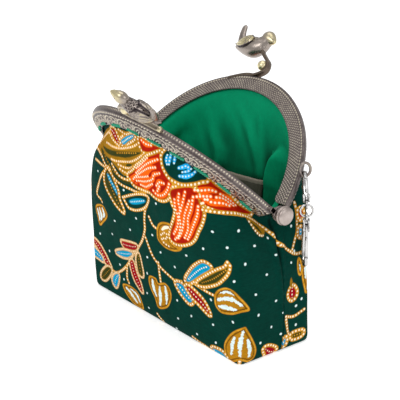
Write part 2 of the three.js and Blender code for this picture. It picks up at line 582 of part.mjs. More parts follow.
piece('outer_shell', clothWall(0, CLOTH_T), material(COLOURS.cloth, 0.9, 0));
piece('lining', clothWall(CLOTH_T + LINING_GAP, liningDepth), material(COLOURS.lining, 0.7, 0));
piece('inner_pocket', pocketPatch(), material(COLOURS.pocket, 0.85, 0));

// each half lies in a group turned to its open tilt, and the front one is the rear one turned about Z
function halfGroup(turnZ, openDeg) {
  const outer = new THREE.Group();
  outer.rotation.z = turnZ;
  const tilt = new THREE.Group();
  tilt.position.z = HINGE_Z;
  tilt.rotation.x = rad(90 - openDeg);
  outer.add(tilt);
  purse.add(outer);
  return tilt;
}
const rearTilt = halfGroup(0, OPEN_REAR_DEG), frontTilt = halfGroup(Math.PI, OPEN_FRONT_DEG);
const rearInverse = new THREE.Matrix4().compose(
  vec(0, 0, HINGE_Z), new THREE.Quaternion().setFromEuler(new THREE.Euler(rad(90 - OPEN_REAR_DEG), 0, 0)), vec(1, 1, 1)).invert();
const loopLocal = solid(geometryOf(sideLoop()), rearInverse);
piece('frame_rear', geometryOf(unite([half, birdClasp(SET_REAR), loopLocal])), material(COLOURS.bronze, 0.4, 0.9), rearTilt);
piece('frame_front', geometryOf(unite([half, birdClasp(SET_FRONT)])), material(COLOURS.bronze, 0.4, 0.9), frontTilt);

for (const [name, sign] of [['rivet_right', 1], ['rivet_left', -1]]) {
  const m = piece(name, rivet(), material(COLOURS.bronze, 0.35, 0.9));
  m.position.z = HINGE_Z;
  m.rotation.z = -sign * Math.PI / 2;
}

// charm: loop - upper clasp - ring - lower clasp; the upper clasp leans out over the cloth
const charmAlong = vec(Math.cos(rad(CHARM_TURN_DEG)), Math.sin(rad(CHARM_TURN_DEG)), 0);
const loopBottom = loopPoint.clone().add(vec(0, 0, -LOOP.halfH));
const reach = UPPER_CLASP_L - claspSizes(UPPER_CLASP_L).hookR - LOOP.wire - 0.3;
const leanFlat = Math.asin(CHARM_FORWARD / reach);
const leanSide = Math.asin(CHARM_SIDE / (reach * Math.cos(leanFlat)));
const hang = loopBottom.clone().addScaledVector(charmAlong, CHARM_FORWARD).addScaledVector(charmAcross, CHARM_SIDE);
const upperEyeZ = loopBottom.z - reach * Math.cos(leanFlat) * Math.cos(leanSide);
const ringZ = upperEyeZ - RING_R;
const lowerEyeZ = ringZ - RING_R;
function charmGroup(z, upright, turn) {
  const g = new THREE.Group();
  g.position.set(hang.x, hang.y, z);
  g.rotation.z = rad(CHARM_TURN_DEG);
  const up = new THREE.Group();
  up.rotation.x = upright;
  g.add(up);
  const tip = new THREE.Group();
  tip.rotation.z = turn;
  up.add(tip);
  purse.add(g);
  return tip;
}
const silver = () => material(COLOURS.silver, 0.2, 1);
const upper = charmGroup(upperEyeZ, Math.PI / 2 + leanSide, leanFlat);
piece('upper_clasp_body', claspBody(UPPER_CLASP_L), silver(), upper);
piece('upper_clasp_lever', claspLever(UPPER_CLASP_L), silver(), upper);
const ringPoints = [];
for (let i = 0; i < 12; i++) {
  const a = i / 6 * Math.PI;
  ringPoints.push(vec(hang.x, hang.y, ringZ)
    .addScaledVector(charmAcross, RING_R * Math.cos(a)).add(vec(0, 0, RING_R * Math.sin(a))));
}
piece('jump_ring', torusAlong(ringPoints, RING_WIRE_R, 20, 6), silver());
const lower = charmGroup(lowerEyeZ, -Math.PI / 2, 0);
piece('lower_clasp_body', claspBody(LOWER_CLASP_L), silver(), lower);
piece('lower_clasp_lever', claspLever(LOWER_CLASP_L), silver(), lower);

export default purse;
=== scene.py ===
"""Looks of a kiss-lock frame purse: printed cotton shell, green lining, antique bronze frame with bird clasps."""
import math

import bpy
import numpy as np
from mathutils import Matrix, Vector


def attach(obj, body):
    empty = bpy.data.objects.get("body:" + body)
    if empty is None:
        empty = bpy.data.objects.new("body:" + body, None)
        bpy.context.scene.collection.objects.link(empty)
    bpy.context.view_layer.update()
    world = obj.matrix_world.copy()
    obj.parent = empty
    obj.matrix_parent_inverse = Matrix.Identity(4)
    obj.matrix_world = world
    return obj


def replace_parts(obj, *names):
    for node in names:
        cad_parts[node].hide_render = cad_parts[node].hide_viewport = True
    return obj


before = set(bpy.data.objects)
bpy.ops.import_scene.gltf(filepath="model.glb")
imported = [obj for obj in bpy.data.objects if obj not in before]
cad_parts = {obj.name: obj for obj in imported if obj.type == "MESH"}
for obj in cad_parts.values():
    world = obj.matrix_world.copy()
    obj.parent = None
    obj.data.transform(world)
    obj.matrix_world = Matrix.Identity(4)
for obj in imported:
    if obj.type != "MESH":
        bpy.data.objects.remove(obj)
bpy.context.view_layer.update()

MM = 0.001

# ------------------------------------------------------------------ cloth surface
# Sizes of the cloth and the frame, in millimetres.
ARCH_R, HINGE_Z = 52.1, 61.3
OPEN_REAR, OPEN_FRONT = math.radians(43.2), math.radians(44.5)
BASE_W, BASE_D, BASE_R, BASE_EDGE_Z, SEAM_BASE_Y = 51.6, 19.7, 3.2, 1.5, 3.0
EDGE_D, MOUTH_D = 5.0, 8.0
QUARTER = BASE_D + BASE_W - 2 * BASE_R + BASE_R * math.pi / 2

# t, lipR, lipN, pullR, pullN, rise, out
CLOTH_FRONT = np.array([
    [0, 0.0, 2.6, 4.0, 5.0, 40, 2.0], [12, -0.2, 2.8, 8.0, 8.0, 44, 0.6], [24, -0.3, 2.8, 9.5, 10.0, 46, -0.2],
    [38, -0.6, 2.6, 2.5, 13.5, 38, 0.4], [58, -1.6, 2.2, -12.0, 16.0, 32, 2.8], [90, -2.5, 1.7, -23.0, 16.5, 29, 5.5]])
CLOTH_REAR = np.array([
    [0, 0.0, 2.6, 3.0, 5.0, 40, 1.0], [12, -0.2, 2.8, 5.0, 8.0, 42, -1.5], [24, -0.3, 2.8, 6.0, 10.0, 42, -3.0],
    [38, -0.6, 2.6, -2.0, 15.0, 36, -1.0], [58, -1.6, 2.2, -14.0, 16.5, 32, 2.0], [90, -2.5, 1.7, -23.0, 16.5, 29, 5.0]])


def smooth(a, b, x):
    f = np.clip((x - a) / (b - a), 0, 1)
    return f * f * (3 - 2 * f)


def lookup(rows, t):
    """All columns of a table at t, smoothly between its rows."""
    T, n = rows[:, 0], len(rows)
    k = np.searchsorted(T[1:n - 1], t, side="left")
    slope = np.zeros_like(rows)
    slope[1:-1] = (rows[2:] - rows[:-2]) / (T[2:] - T[:-2])[:, None]
    h = (T[k + 1] - T[k])[:, None]
    f = np.clip((t - T[k]) / h[:, 0], 0, 1)[:, None]
    a, b = rows[k], rows[k + 1]
    return (a * (1 + 2 * f) * (1 - f) ** 2 + b * f * f * (3 - 2 * f)
            + h * (slope[k] * f * (1 - f) ** 2 - slope[k + 1] * f * f * (1 - f)))


def base_outline(s):
    side, arc = BASE_D - BASE_R, BASE_R * math.pi / 2
    a = np.clip((s - side) / BASE_R, 0, math.pi / 2)
    x = np.where(s <= side, BASE_W, np.where(s <= side + arc, BASE_W - BASE_R + BASE_R * np.cos(a), BASE_W - BASE_R - (s - side - arc)))
    y = np.where(s <= side, s, np.where(s <= side + arc, side + BASE_R * np.sin(a), BASE_D))
    return x, y, np.cos(a), np.sin(a)


def bez(a, b, c, d, f):
    f = f[None, :, None]
    a, b, c, d = (v[:, None, :] for v in (a, b, c, d))
    return a * (1 - f) ** 3 + 3 * b * f * (1 - f) ** 2 + 3 * c * f * f * (1 - f) + d * f ** 3


BEZ = np.linspace(0, 1, 60)


def arch_columns(t, front, right, q):
    """Columns of cloth at arch angles t (degrees), from inside the channel down to the flat base."""
    g = lookup(CLOTH_FRONT if front else CLOTH_REAR, t)
    sx, sy, tilt = (1 if right else -1), (-1 if front else 1), (OPEN_FRONT if front else OPEN_REAR)
    c, s = np.cos(np.radians(t)), np.sin(np.radians(t))

    def put(x, y, z):
        return np.stack([sx * x, sy * y, z + 0 * x], -1)

    def arch(r, n):
        return put(r * c, r * s * math.sin(tilt) + n * math.cos(tilt), HINGE_Z + r * s * math.cos(tilt) - n * math.sin(tilt))
    rm, nm = ARCH_R - MOUTH_D, 4.15
    bx, by, nx, ny = base_outline(t / 90 * QUARTER)
    by = by + sy * (1 - smooth(0, 16, t)) * SEAM_BASE_Y
    turn = (1 - smooth(0, 7, t)) * (0.7 - 0.55 * q)
    body = bez(arch(rm + g[:, 1], nm + g[:, 2]), arch(rm + g[:, 3], nm + g[:, 4]),
               put(bx + nx * g[:, 6], by + ny * g[:, 6], BASE_EDGE_Z + g[:, 5]), put(bx, by, BASE_EDGE_Z), BEZ)
    top = np.stack([arch(ARCH_R - EDGE_D + 0.5 * turn, 3.5 - q * 0.96), arch(rm + turn, nm - q)], 1)
    end = np.stack([put(bx - nx * 0.25, by - ny * 0.25, 0.4), put(bx - nx * 1.1, by - ny * 1.1, 0.0)], 1)
    return np.concatenate([top, body, end], 1)


def seam_column(right, q):
    sx = 1 if right else -1
    p = lambda x, y, z: np.array([[sx * x, y, z]])
    body = bez(p(46.4, 0.4, 53.6), p(50.5, 1.5, 49), p(54.0, 5.0, 34), p(BASE_W, SEAM_BASE_Y, BASE_EDGE_Z), BEZ)[0]
    return np.concatenate([p(ARCH_R - EDGE_D + 0.4 - q, 0, 58.3), p(ARCH_R - MOUTH_D + 1.4 - q, 0, 56.6), body,
                           p(BASE_W - 0.25, SEAM_BASE_Y, 0.4), p(BASE_W - 1.1, SEAM_BASE_Y, 0)])


def ring_columns(q, nt, strip):
    """All columns round the purse as polylines: right seam, front, left seam, rear."""
    t = np.linspace(1, 90, nt)
    w = np.linspace(0, 1, strip + 1)[1:-1]
    w = (w * w * (3 - 2 * w))[:, None, None]

    def half(front, right):
        a, s = arch_columns(t, front, right, q), seam_column(right, q)
        return np.concatenate([s[None] * (1 - w) + a[:1] * w, a])
    fr, fl, rl, rr = half(True, True), half(True, False), half(False, False), half(False, True)
    return np.concatenate([seam_column(True, q)[None], fr, fl[::-1][1:], seam_column(False, q)[None], rl, rr[::-1][1:]])


def blur(P, sigma, axis, cyclic):
    """Gaussian blur of points along one axis; free ends stay where they are."""
    k = int(3 * sigma + 0.5)
    w = np.exp(-0.5 * (np.arange(-k, k + 1) / sigma) ** 2)
    w /= w.sum()
    P = np.moveaxis(P, axis, 0)
    if cyclic:
        Q = np.concatenate([P[-k:], P, P[:k]])
    else:
        Q = np.concatenate([2 * P[:1] - P[k:0:-1], P, 2 * P[-1:] - P[-2:-k - 2:-1]])
    out = sum(w[i] * Q[i:i + len(P)] for i in range(2 * k + 1))
    return np.moveaxis(out, 0, axis)


def grid_normals(P, cyclic=True):
    a = np.roll(P, 1, 0) - np.roll(P, -1, 0) if cyclic else -np.gradient(P, axis=0)
    d = -np.gradient(P, axis=1)
    n = np.cross(a, d)
    return n / np.maximum(np.linalg.norm(n, axis=-1, keepdims=True), 1e-9)


def resample(P, rows, power=1.0):
    """Each column at an even spacing of its own length."""
    L = np.concatenate([np.zeros((len(P), 1)), np.cumsum(np.linalg.norm(np.diff(P, axis=1), axis=2), 1)], 1)
    out = np.empty((len(P), rows, 3))
    for i in range(len(P)):
        s = np.linspace(0, 1, rows) ** power * L[i, -1]
        for k in range(3):
            out[i, :, k] = np.interp(s, L[i], P[i, :, k])
    return out


def ring_surface(q, nt, strip, rows, row_mm=1.1, col_mm=0.8):
    """Smooth surface round the purse, q mm inside the outer face: (columns, rows, 3)."""
    P = ring_columns(q, nt, strip)
    if q:
        N = grid_normals(ring_columns(0.0, nt, strip))
        flat = N[:, -5].copy(); flat[:, 2] = 0
        flat /= np.linalg.norm(flat, axis=1, keepdims=True)
        last = P[:, -1] - 1.15 * q * flat + np.array([0, 0, q])
        P[:, 2:-1] -= q * N[:, 2:-1]
        P[:, -1] = last
    P = resample(P, rows)
    P = blur(P, row_mm / 0.36, 1, False)
    return blur(P, col_mm / 0.36, 0, True)


def spline_matrix(n_to, n_from):
    """Weights that interpolate n_from even samples at n_to even places, with smooth slopes."""
    x = np.linspace(0, n_from - 1, n_to)
    k = np.clip(np.floor(x).astype(int), 0, n_from - 2)
    f = x - k
    W = np.zeros((n_to, n_from))
    r = np.arange(n_to)
    for off, w in ((-1, -0.5 * f + f ** 2 - 0.5 * f ** 3), (0, 1 - 2.5 * f ** 2 + 1.5 * f ** 3),
                   (1, 0.5 * f + 2 * f ** 2 - 1.5 * f ** 3), (2, -0.5 * f ** 2 + 0.5 * f ** 3)):
        np.add.at(W, (r, np.clip(k + off, 0, n_from - 1)), w)
    return W


def flatten(P, nc=33, nr=15):
    """Lays a panel (columns, rows, 3) flat with its lengths kept as well as they can be: (columns, rows, 2) in mm."""
    ci = np.round(np.linspace(0, len(P) - 1, nc)).astype(int)
    ri = np.round(np.linspace(0, P.shape[1] - 1, nr)).astype(int)
    G = P[ci][:, ri]
    idx = np.arange(nc * nr).reshape(nc, nr)
    pairs = [(idx[:-1], idx[1:], 1.0), (idx[:, :-1], idx[:, 1:], 1.0),
             (idx[:-1, :-1], idx[1:, 1:], 0.7), (idx[1:, :-1], idx[:-1, 1:], 0.7)]
    a = np.concatenate([p[0].ravel() for p in pairs]); b = np.concatenate([p[1].ravel() for p in pairs])
    w = np.concatenate([np.full(p[0].size, p[2]) for p in pairs])
    X = G.reshape(-1, 3)
    L = np.linalg.norm(X[a] - X[b], axis=1)
    up = np.concatenate([np.zeros((nc, 1)), np.cumsum(np.linalg.norm(np.diff(G, axis=1), axis=2), 1)], 1)
    across = np.concatenate([[0], np.cumsum(np.linalg.norm(np.diff(G[:, -1], axis=0), axis=1))])
    across = across[-1] / 2 - across
    uv = np.stack([np.repeat(across[:, None], nr, 1), up[:, -1:] - up], -1).reshape(-1, 2)
    m = len(uv)

    def gather(y):
        g = np.zeros((m, 2))
        for k in range(2):
            g[:, k] = np.bincount(a, y[:, k], m) - np.bincount(b, y[:, k], m)
        return g
    for it in range(30):
        d = uv[a] - uv[b]
        l = np.maximum(np.linalg.norm(d, axis=1), 1e-6)
        e = d / l[:, None] * w[:, None]
        r = gather(e * (w * (L - l))[:, None])
        x, p, rr = np.zeros((m, 2)), r.copy(), (r * r).sum()
        for _ in range(80):
            hp = gather(e * (e * (p[a] - p[b])).sum(1)[:, None]) + 2e-3 * p
            al = rr / max((p * hp).sum(), 1e-12)
            x += al * p
            r -= al * hp
            new = (r * r).sum()
            p = r + new / max(rr, 1e-20) * p
            rr = new
            if rr < 1e-10:
                break
        uv = uv + x
    mid = uv.reshape(nc, nr, 2)[nc // 2]
    v = mid[0] - mid[-1]
    v /= np.linalg.norm(v)
    uv = (uv - mid[-1]) @ np.array([[v[1], v[0]], [-v[0], v[1]]])
    uv = uv.reshape(nc, nr, 2)
    Wc = spline_matrix(len(P), nc)
    Wr = spline_matrix(P.shape[1], nr)
    return np.einsum("ac,crk,br->abk", Wc, uv, Wr)


NT, STRIP, ROWS = 190, 8, 246
# ------------------------------------------------------------------ end of cloth surface


# ------------------------------------------------------------------ helpers
def noise2(x, y, seed=0):
    """Smooth value noise, 0 to 1."""
    xi, yi = np.floor(x).astype(np.int64), np.floor(y).astype(np.int64)
    fx, fy = x - xi, y - yi
    fx, fy = fx * fx * (3 - 2 * fx), fy * fy * (3 - 2 * fy)

    def h(a, b):
        v = (a * 374761393 + b * 668265263 + seed * 974126177) & 0xFFFFFFFF
        v = ((v ^ (v >> 13)) * 1274126177) & 0xFFFFFFFF
        return ((v ^ (v >> 16)) & 0xFFFF) / 65535.0
    return ((h(xi, yi) * (1 - fx) + h(xi + 1, yi) * fx) * (1 - fy)
            + (h(xi, yi + 1) * (1 - fx) + h(xi + 1, yi + 1) * fx) * fy)


def fbm(x, y, seed=0, octaves=3):
    return sum((noise2(x * 2 ** k, y * 2 ** k, seed + 7 * k) - 0.5) / 2 ** k for k in range(octaves))


def build(name, V, quads=None, tris=None, ngons=(), mats=(), body="purse", smooth_shade=True):
    """Mesh object from arrays in mm, riding on a body."""
    V = np.asarray(V, float).reshape(-1, 3)
    faces = []
    if quads is not None and len(quads):
        faces += np.asarray(quads).tolist()
    if tris is not None and len(tris):
        faces += np.asarray(tris).tolist()
    faces += [list(map(int, g)) for g in ngons]
    me = bpy.data.meshes.new(name)
    me.from_pydata((V * MM).tolist(), [], faces)
    me.polygons.foreach_set("use_smooth", np.full(len(me.polygons), smooth_shade))
    me.update()
    ob = bpy.data.objects.new(name, me)
    bpy.context.scene.collection.objects.link(ob)
    for m in mats:
        me.materials.append(m)
    if body:
        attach(ob, body)
    return ob


def attribute(ob, name, values):
    values = np.asarray(values, np.float32)
    if values.ndim == 1:
        ob.data.attributes.new(name, "FLOAT", "POINT").data.foreach_set("value", values)
    else:
        if values.shape[1] == 3:
            values = np.concatenate([values, np.ones((len(values), 1), np.float32)], 1)
        ob.data.attributes.new(name, "FLOAT_COLOR", "POINT").data.foreach_set("color", values.ravel())


def uv_layer(ob, name, per_vertex):
    layer = ob.data.uv_layers.new(name=name)
    idx = np.empty(len(ob.data.loops), np.int32)
    ob.data.loops.foreach_get("vertex_index", idx)
    layer.data.foreach_set("uv", np.asarray(per_vertex, np.float32)[idx].ravel())


def grid_quads(nc, nr, off=0, flip=False, cyclic=False):
    i, j = np.meshgrid(np.arange(nc if cyclic else nc - 1), np.arange(nr - 1), indexing="ij")
    k = (i + 1) % nc
    q = np.stack([i * nr + j, i * nr + j + 1, k * nr + j + 1, k * nr + j], -1).reshape(-1, 4) + off
    return q[:, ::-1] if flip else q


class Parts:
    """Collects vertices and faces of several forms in one mesh, with a value for each vertex."""

    def __init__(self):
        self.v, self.f, self.a, self.n = [], [], [], 0

    def add(self, V, faces, value=0.5):
        V = np.asarray(V, float).reshape(-1, 3)
        self.v.append(V)
        self.f += [[int(i) + self.n for i in f] for f in faces]
        self.a.append(np.broadcast_to(np.asarray(value, float), (len(V),)))
        self.n += len(V)

    def object(self, name, mats, body="purse", slot=None, to_world=None):
        V = np.concatenate(self.v)
        if to_world:
            V = to_world(V)
        ob = build(name, V, ngons=self.f, mats=mats, body=body)
        attribute(ob, "relief", np.concatenate(self.a))
        return ob


def catmull(points, n, closed=False):
    """n points on a smooth curve through the given ones, evenly spaced along it."""
    P = np.asarray(points, float)
    if closed:
        Q = np.concatenate([P[-1:], P, P[:2]])
    else:
        Q = np.concatenate([2 * P[:1] - P[1:2], P, 2 * P[-1:] - P[-2:-1]])
    out = []
    for k in range(1, len(Q) - 2):
        f = np.linspace(0, 1, 24, endpoint=False)[:, None]
        a, b, c, d = Q[k - 1], Q[k], Q[k + 1], Q[k + 2]
        out.append(0.5 * (2 * b + (c - a) * f + (2 * a - 5 * b + 4 * c - d) * f ** 2 + (3 * b - a - 3 * c + d) * f ** 3))
    out.append(Q[-2][None])
    D = np.concatenate(out)
    L = np.concatenate([[0], np.cumsum(np.linalg.norm(np.diff(D, axis=0), axis=1))])
    s = np.linspace(0, L[-1], n + 1 if closed else n)
    R = np.stack([np.interp(s, L, D[:, k]) for k in range(D.shape[1])], 1)
    return R[:-1] if closed else R


def sweep(path, section, closed=False, up=None, scale=None, cap=True):
    """Closed section (m, 2) carried along path (n, 3). Returns vertices (n*m) and faces."""
    P = np.asarray(path, float)
    n, m = len(P), len(section)
    T = (np.roll(P, -1, 0) - np.roll(P, 1, 0)) if closed else np.gradient(P, axis=0)
    T /= np.linalg.norm(T, axis=1, keepdims=True)
    if up is not None:
        A = np.broadcast_to(np.asarray(up, float), P.shape)
        A = A - (A * T).sum(1, keepdims=True) * T
        A /= np.linalg.norm(A, axis=1, keepdims=True)
    else:
        a = np.cross(T[0], [0.3, 0.5, 0.81]); a /= np.linalg.norm(a)
        A = [a]
        for k in range(1, n):
            a = A[-1] - (A[-1] @ T[k]) * T[k]
            A.append(a / np.linalg.norm(a))
        A = np.array(A)
    B = np.cross(T, A)
    S = np.asarray(section, float)
    sc = np.ones((n, 2)) if scale is None else np.asarray(scale, float).reshape(n, -1) * np.ones((1, 2))
    V = P[:, None] + A[:, None] * (S[None, :, :1] * sc[:, None, :1]) + B[:, None] * (S[None, :, 1:] * sc[:, None, 1:])
    faces = []
    for i in range(n if closed else n - 1):
        k = (i + 1) % n
        for j in range(m):
            l = (j + 1) % m
            faces.append([i * m + j, i * m + l, k * m + l, k * m + j])
    if cap and not closed:
        faces += [list(range(m))[::-1], [(n - 1) * m + j for j in range(m)]]
    return V.reshape(-1, 3), faces


def circle(r, m, squash=1.0):
    a = np.arange(m) / m * 2 * math.pi
    return np.stack([r * np.cos(a), r * squash * np.sin(a)], 1)


def rounded_rect(w, h, r, k=3):
    pts = []
    for cx, cy, a0 in ((w - r, h - r, 0), (r - w, h - r, 90), (r - w, r - h, 180), (w - r, r - h, 270)):
        for i in range(k + 1):
            a = math.radians(a0 + 90 * i / k)
            pts.append((cx + r * math.cos(a), cy + r * math.sin(a)))
    return np.array(pts)


def ball(centre, radius, nu=28, nv=18):
    """Sphere or ellipsoid as quads with closed poles."""
    r = np.ones(3) * radius
    V, F = [[0, 0, r[2]]], []
    for j in range(1, nv):
        a = math.pi * j / nv
        for i in range(nu):
            b = 2 * math.pi * i / nu
            V.append([r[0] * math.sin(a) * math.cos(b), r[1] * math.sin(a) * math.sin(b), r[2] * math.cos(a)])
    V.append([0, 0, -r[2]])
    for i in range(nu):
        F.append([0, 1 + i, 1 + (i + 1) % nu])
        for j in range(nv - 2):
            a = 1 + j * nu
            F.append([a + i, a + nu + i, a + nu + (i + 1) % nu, a + (i + 1) % nu])
        a = 1 + (nv - 2) * nu
        F.append([a + (i + 1) % nu, a + i, len(V) - 1])
    return np.array(V) + np.asarray(centre, float), F


def lathe(profile, m, axis_point=(0, 0, 0)):
    """Profile rows (r, x) turned about X; r 0 at both ends."""
    V, F = [], []
    P = [p for p in profile]
    V.append([P[0][1], 0, 0])
    for r, x in P[1:-1]:
        for k in range(m):
            a = 2 * math.pi * k / m
            V.append([x, r * math.cos(a), r * math.sin(a)])
    V.append([P[-1][1], 0, 0])
    n = len(P) - 2
    for k in range(m):
        l = (k + 1) % m
        F.append([0, 1 + l, 1 + k])
        for j in range(n - 1):
            a = 1 + j * m
            F.append([a + k, a + l, a + m + l, a + m + k])
        a = 1 + (n - 1) * m
        F.append([a + k, a + l, len(V) - 1])
    return np.array(V) + np.asarray(axis_point, float), F


# ------------------------------------------------------------------ materials
class Nodes:
    """Small helper to write node trees."""

    def __init__(self, name):
        self.mat = bpy.data.materials.new(name)
        self.mat.use_nodes = True
        self.t = self.mat.node_tree
        self.bsdf = self.t.nodes["Principled BSDF"]

    def new(self, kind, **props):
        n = self.t.nodes.new(kind)
        for k, v in props.items():
            setattr(n, k, v)
        return n

    def link(self, a, b):
        self.t.links.new(a, b)

    def value(self, sock, v):
        if hasattr(v, "is_output"):
            self.link(v, sock)
        else:
            sock.default_value = v

    def attr(self, name, out="Fac"):
        return self.new("ShaderNodeAttribute", attribute_name=name).outputs[out]

    def math(self, op, a, b=0.0, c=None, clamp=False):
        n = self.new("ShaderNodeMath", operation=op, use_clamp=clamp)
        self.value(n.inputs[0], a)
        self.value(n.inputs[1], b)
        if c is not None:
            self.value(n.inputs[2], c)
        return n.outputs[0]

    def ramp(self, v, a, b, lo=0.0, hi=1.0, soft=True):
        n = self.new("ShaderNodeMapRange", interpolation_type="SMOOTHSTEP" if soft else "LINEAR", clamp=True) if soft else self.new("ShaderNodeMapRange", clamp=True)
        self.value(n.inputs["Value"], v)
        n.inputs["From Min"].default_value, n.inputs["From Max"].default_value = a, b
        n.inputs["To Min"].default_value, n.inputs["To Max"].default_value = lo, hi
        return n.outputs["Result"]

    def mix(self, f, a, b, blend="MIX"):
        n = self.new("ShaderNodeMix", data_type="RGBA", blend_type=blend)
        self.value(n.inputs[0], f)
        for s, v in ((n.inputs[6], a), (n.inputs[7], b)):
            if hasattr(v, "is_output"):
                self.link(v, s)
            else:
                s.default_value = (*v, 1.0) if len(v) == 3 else v
        return n.outputs[2]

    def noise(self, scale, detail=3.0, rough=0.55, coord=None, out="Fac"):
        n = self.new("ShaderNodeTexNoise")
        n.inputs["Scale"].default_value = scale
        n.inputs["Detail"].default_value = detail
        n.inputs["Roughness"].default_value = rough
        if coord is not None:
            self.link(coord, n.inputs["Vector"])
        return n.outputs[out]

    def object_coord(self):
        return self.new("ShaderNodeTexCoord").outputs["Object"]

    def bump(self, height, strength, distance, normal=None):
        n = self.new("ShaderNodeBump")
        n.inputs["Strength"].default_value = strength
        n.inputs["Distance"].default_value = distance
        self.link(height, n.inputs["Height"])
        if normal is not None:
            self.link(normal, n.inputs["Normal"])
        return n.outputs["Normal"]

    def set(self, **kw):
        for k, v in kw.items():
            self.value(self.bsdf.inputs[k.replace("_", " ")], v)


def srgb(r, g, b):
    c = np.array([r, g, b], float) / 255
    return tuple(np.where(c <= 0.04045, c / 12.92, ((c + 0.055) / 1.055) ** 2.4))


def weave(nd, pitch_mm, uv="Weave"):
    """Plain weave height, 0 to 1, from a UV map in units of 100 mm."""
    m = nd.new("ShaderNodeUVMap", uv_map=uv)
    s = nd.new("ShaderNodeSeparateXYZ")
    nd.link(m.outputs[0], s.inputs[0])
    k = 2 * math.pi * 100 / pitch_mm
    a = nd.math("SINE", nd.math("MULTIPLY", s.outputs[0], k))
    b = nd.math("SINE", nd.math("MULTIPLY", s.outputs[1], k))
    return nd.math("MULTIPLY_ADD", nd.math("MULTIPLY", a, b), 0.5, 0.5), m.outputs[0]


OCHRE, CREAM, PALE = srgb(190, 134, 28), srgb(250, 234, 206), srgb(214, 232, 230)


def print_material():
    nd = Nodes("printed_cotton")
    w, uv = weave(nd, 0.46)
    col = nd.attr("fill", "Color")
    grain = nd.noise(900, 2.0, 0.6, nd.object_coord())
    ochre = nd.mix(nd.ramp(nd.noise(260, 3.0, 0.6, nd.object_coord()), 0.3, 0.7), srgb(176, 118, 18), srgb(212, 152, 44))
    ochre = nd.mix(nd.attr("tone"), ochre, srgb(205, 165, 112))
    col = nd.mix(nd.ramp(nd.attr("line"), 0.14, -0.14), col, ochre)
    col = nd.mix(nd.ramp(nd.attr("cream"), 0.13, -0.13), col, CREAM)
    col = nd.mix(nd.ramp(nd.attr("pale"), 0.13, -0.13), col, PALE)
    slub = nd.new("ShaderNodeVectorMath", operation="MULTIPLY")
    nd.link(uv, slub.inputs[0])
    slub.inputs[1].default_value = (24, 190, 1)
    slub = nd.noise(1.0, 2.0, 0.6, slub.outputs[0])
    shade = nd.math("MULTIPLY_ADD", nd.math("MULTIPLY_ADD", w, 0.5, nd.math("MULTIPLY", grain, 0.4)), 0.3, 0.52)
    shade = nd.math("MULTIPLY_ADD", slub, 0.66, shade)
    n = nd.new("ShaderNodeMix", data_type="RGBA", blend_type="MULTIPLY")
    n.inputs[0].default_value = 1.0
    nd.link(col, n.inputs[6])
    c = nd.new("ShaderNodeCombineColor")
    for k in range(3):
        nd.link(shade, c.inputs[k])
    nd.link(c.outputs[0], n.inputs[7])
    nd.link(n.outputs[2], nd.bsdf.inputs["Base Color"])
    rough = nd.math("MULTIPLY_ADD", grain, 0.18, 0.74)
    nd.link(rough, nd.bsdf.inputs["Roughness"])
    h = nd.math("MULTIPLY_ADD", nd.noise(420, 3.0, 0.6, nd.object_coord()), 0.6, nd.math("MULTIPLY", w, 0.5))
    nd.link(nd.bump(h, 0.35, 0.00012), nd.bsdf.inputs["Normal"])
    nd.set(Sheen_Weight=0.0, Specular_IOR_Level=0.04)
    return nd.mat


def plain_cloth(name, dark, light, pitch, sheen=0.15, rough=0.8, painted_shade=None):
    nd = Nodes(name)
    w, uv = weave(nd, pitch)
    grain = nd.noise(700, 3.0, 0.6, nd.object_coord())
    large = nd.noise(60, 2.0, 0.5, nd.object_coord())
    f = nd.math("MULTIPLY_ADD", w, 0.35, nd.math("MULTIPLY_ADD", grain, 0.4, nd.math("MULTIPLY", large, 0.3)))
    col = nd.mix(f, dark, light)
    # painted shade: where the per-vertex shade value is high, the colour is mixed towards a dark shade colour
    if painted_shade is not None:
        col = nd.mix(nd.attr("painted_shade"), col, painted_shade)
    nd.link(col, nd.bsdf.inputs["Base Color"])
    nd.link(nd.math("MULTIPLY_ADD", grain, 0.15, rough - 0.07), nd.bsdf.inputs["Roughness"])
    h = nd.math("MULTIPLY_ADD", w, 0.6, nd.math("MULTIPLY", grain, 0.6))
    nd.link(nd.bump(h, 0.3, 0.0001), nd.bsdf.inputs["Normal"])
    nd.set(Sheen_Weight=sheen, Sheen_Roughness=0.45, Specular_IOR_Level=0.08)
    return nd.mat


def bronze_material(name="antique_bronze", low=(60, 52, 52), mid=(132, 122, 118), high=(212, 202, 178), rough=0.4):
    nd = Nodes(name)
    r = nd.attr("relief")
    oc = nd.object_coord()
    patina = nd.noise(220, 4.0, 0.6, oc)
    fine = nd.noise(1400, 3.0, 0.6, oc)
    f = nd.math("MULTIPLY_ADD", nd.math("SUBTRACT", patina, 0.5), 0.35, r)
    f = nd.math("MULTIPLY_ADD", nd.math("SUBTRACT", fine, 0.5), 0.3, f)
    c = nd.mix(nd.ramp(f, 0.05, 0.5), srgb(*low), srgb(*mid))
    c = nd.mix(nd.ramp(f, 0.55, 0.95), c, srgb(*high))
    nd.link(c, nd.bsdf.inputs["Base Color"])
    nd.link(nd.math("MULTIPLY_ADD", patina, 0.22, rough - 0.11), nd.bsdf.inputs["Roughness"])
    nd.link(nd.bump(fine, 0.25, 0.00008), nd.bsdf.inputs["Normal"])
    nd.set(Metallic=0.9)
    return nd.mat


def silver_material(name, base, rough, scratch=0.12):
    nd = Nodes(name)
    oc = nd.object_coord()
    smear = nd.noise(350, 4.0, 0.65, oc)
    c = nd.mix(nd.ramp(smear, 0.35, 0.75), srgb(*base), srgb(*[min(255, v + 18) for v in base]))
    nd.link(c, nd.bsdf.inputs["Base Color"])
    nd.link(nd.math("MULTIPLY_ADD", smear, scratch, rough), nd.bsdf.inputs["Roughness"])
    nd.link(nd.bump(nd.noise(1800, 2.0, 0.5, oc), 0.08, 0.00005), nd.bsdf.inputs["Normal"])
    nd.set(Metallic=1.0)
    return nd.mat


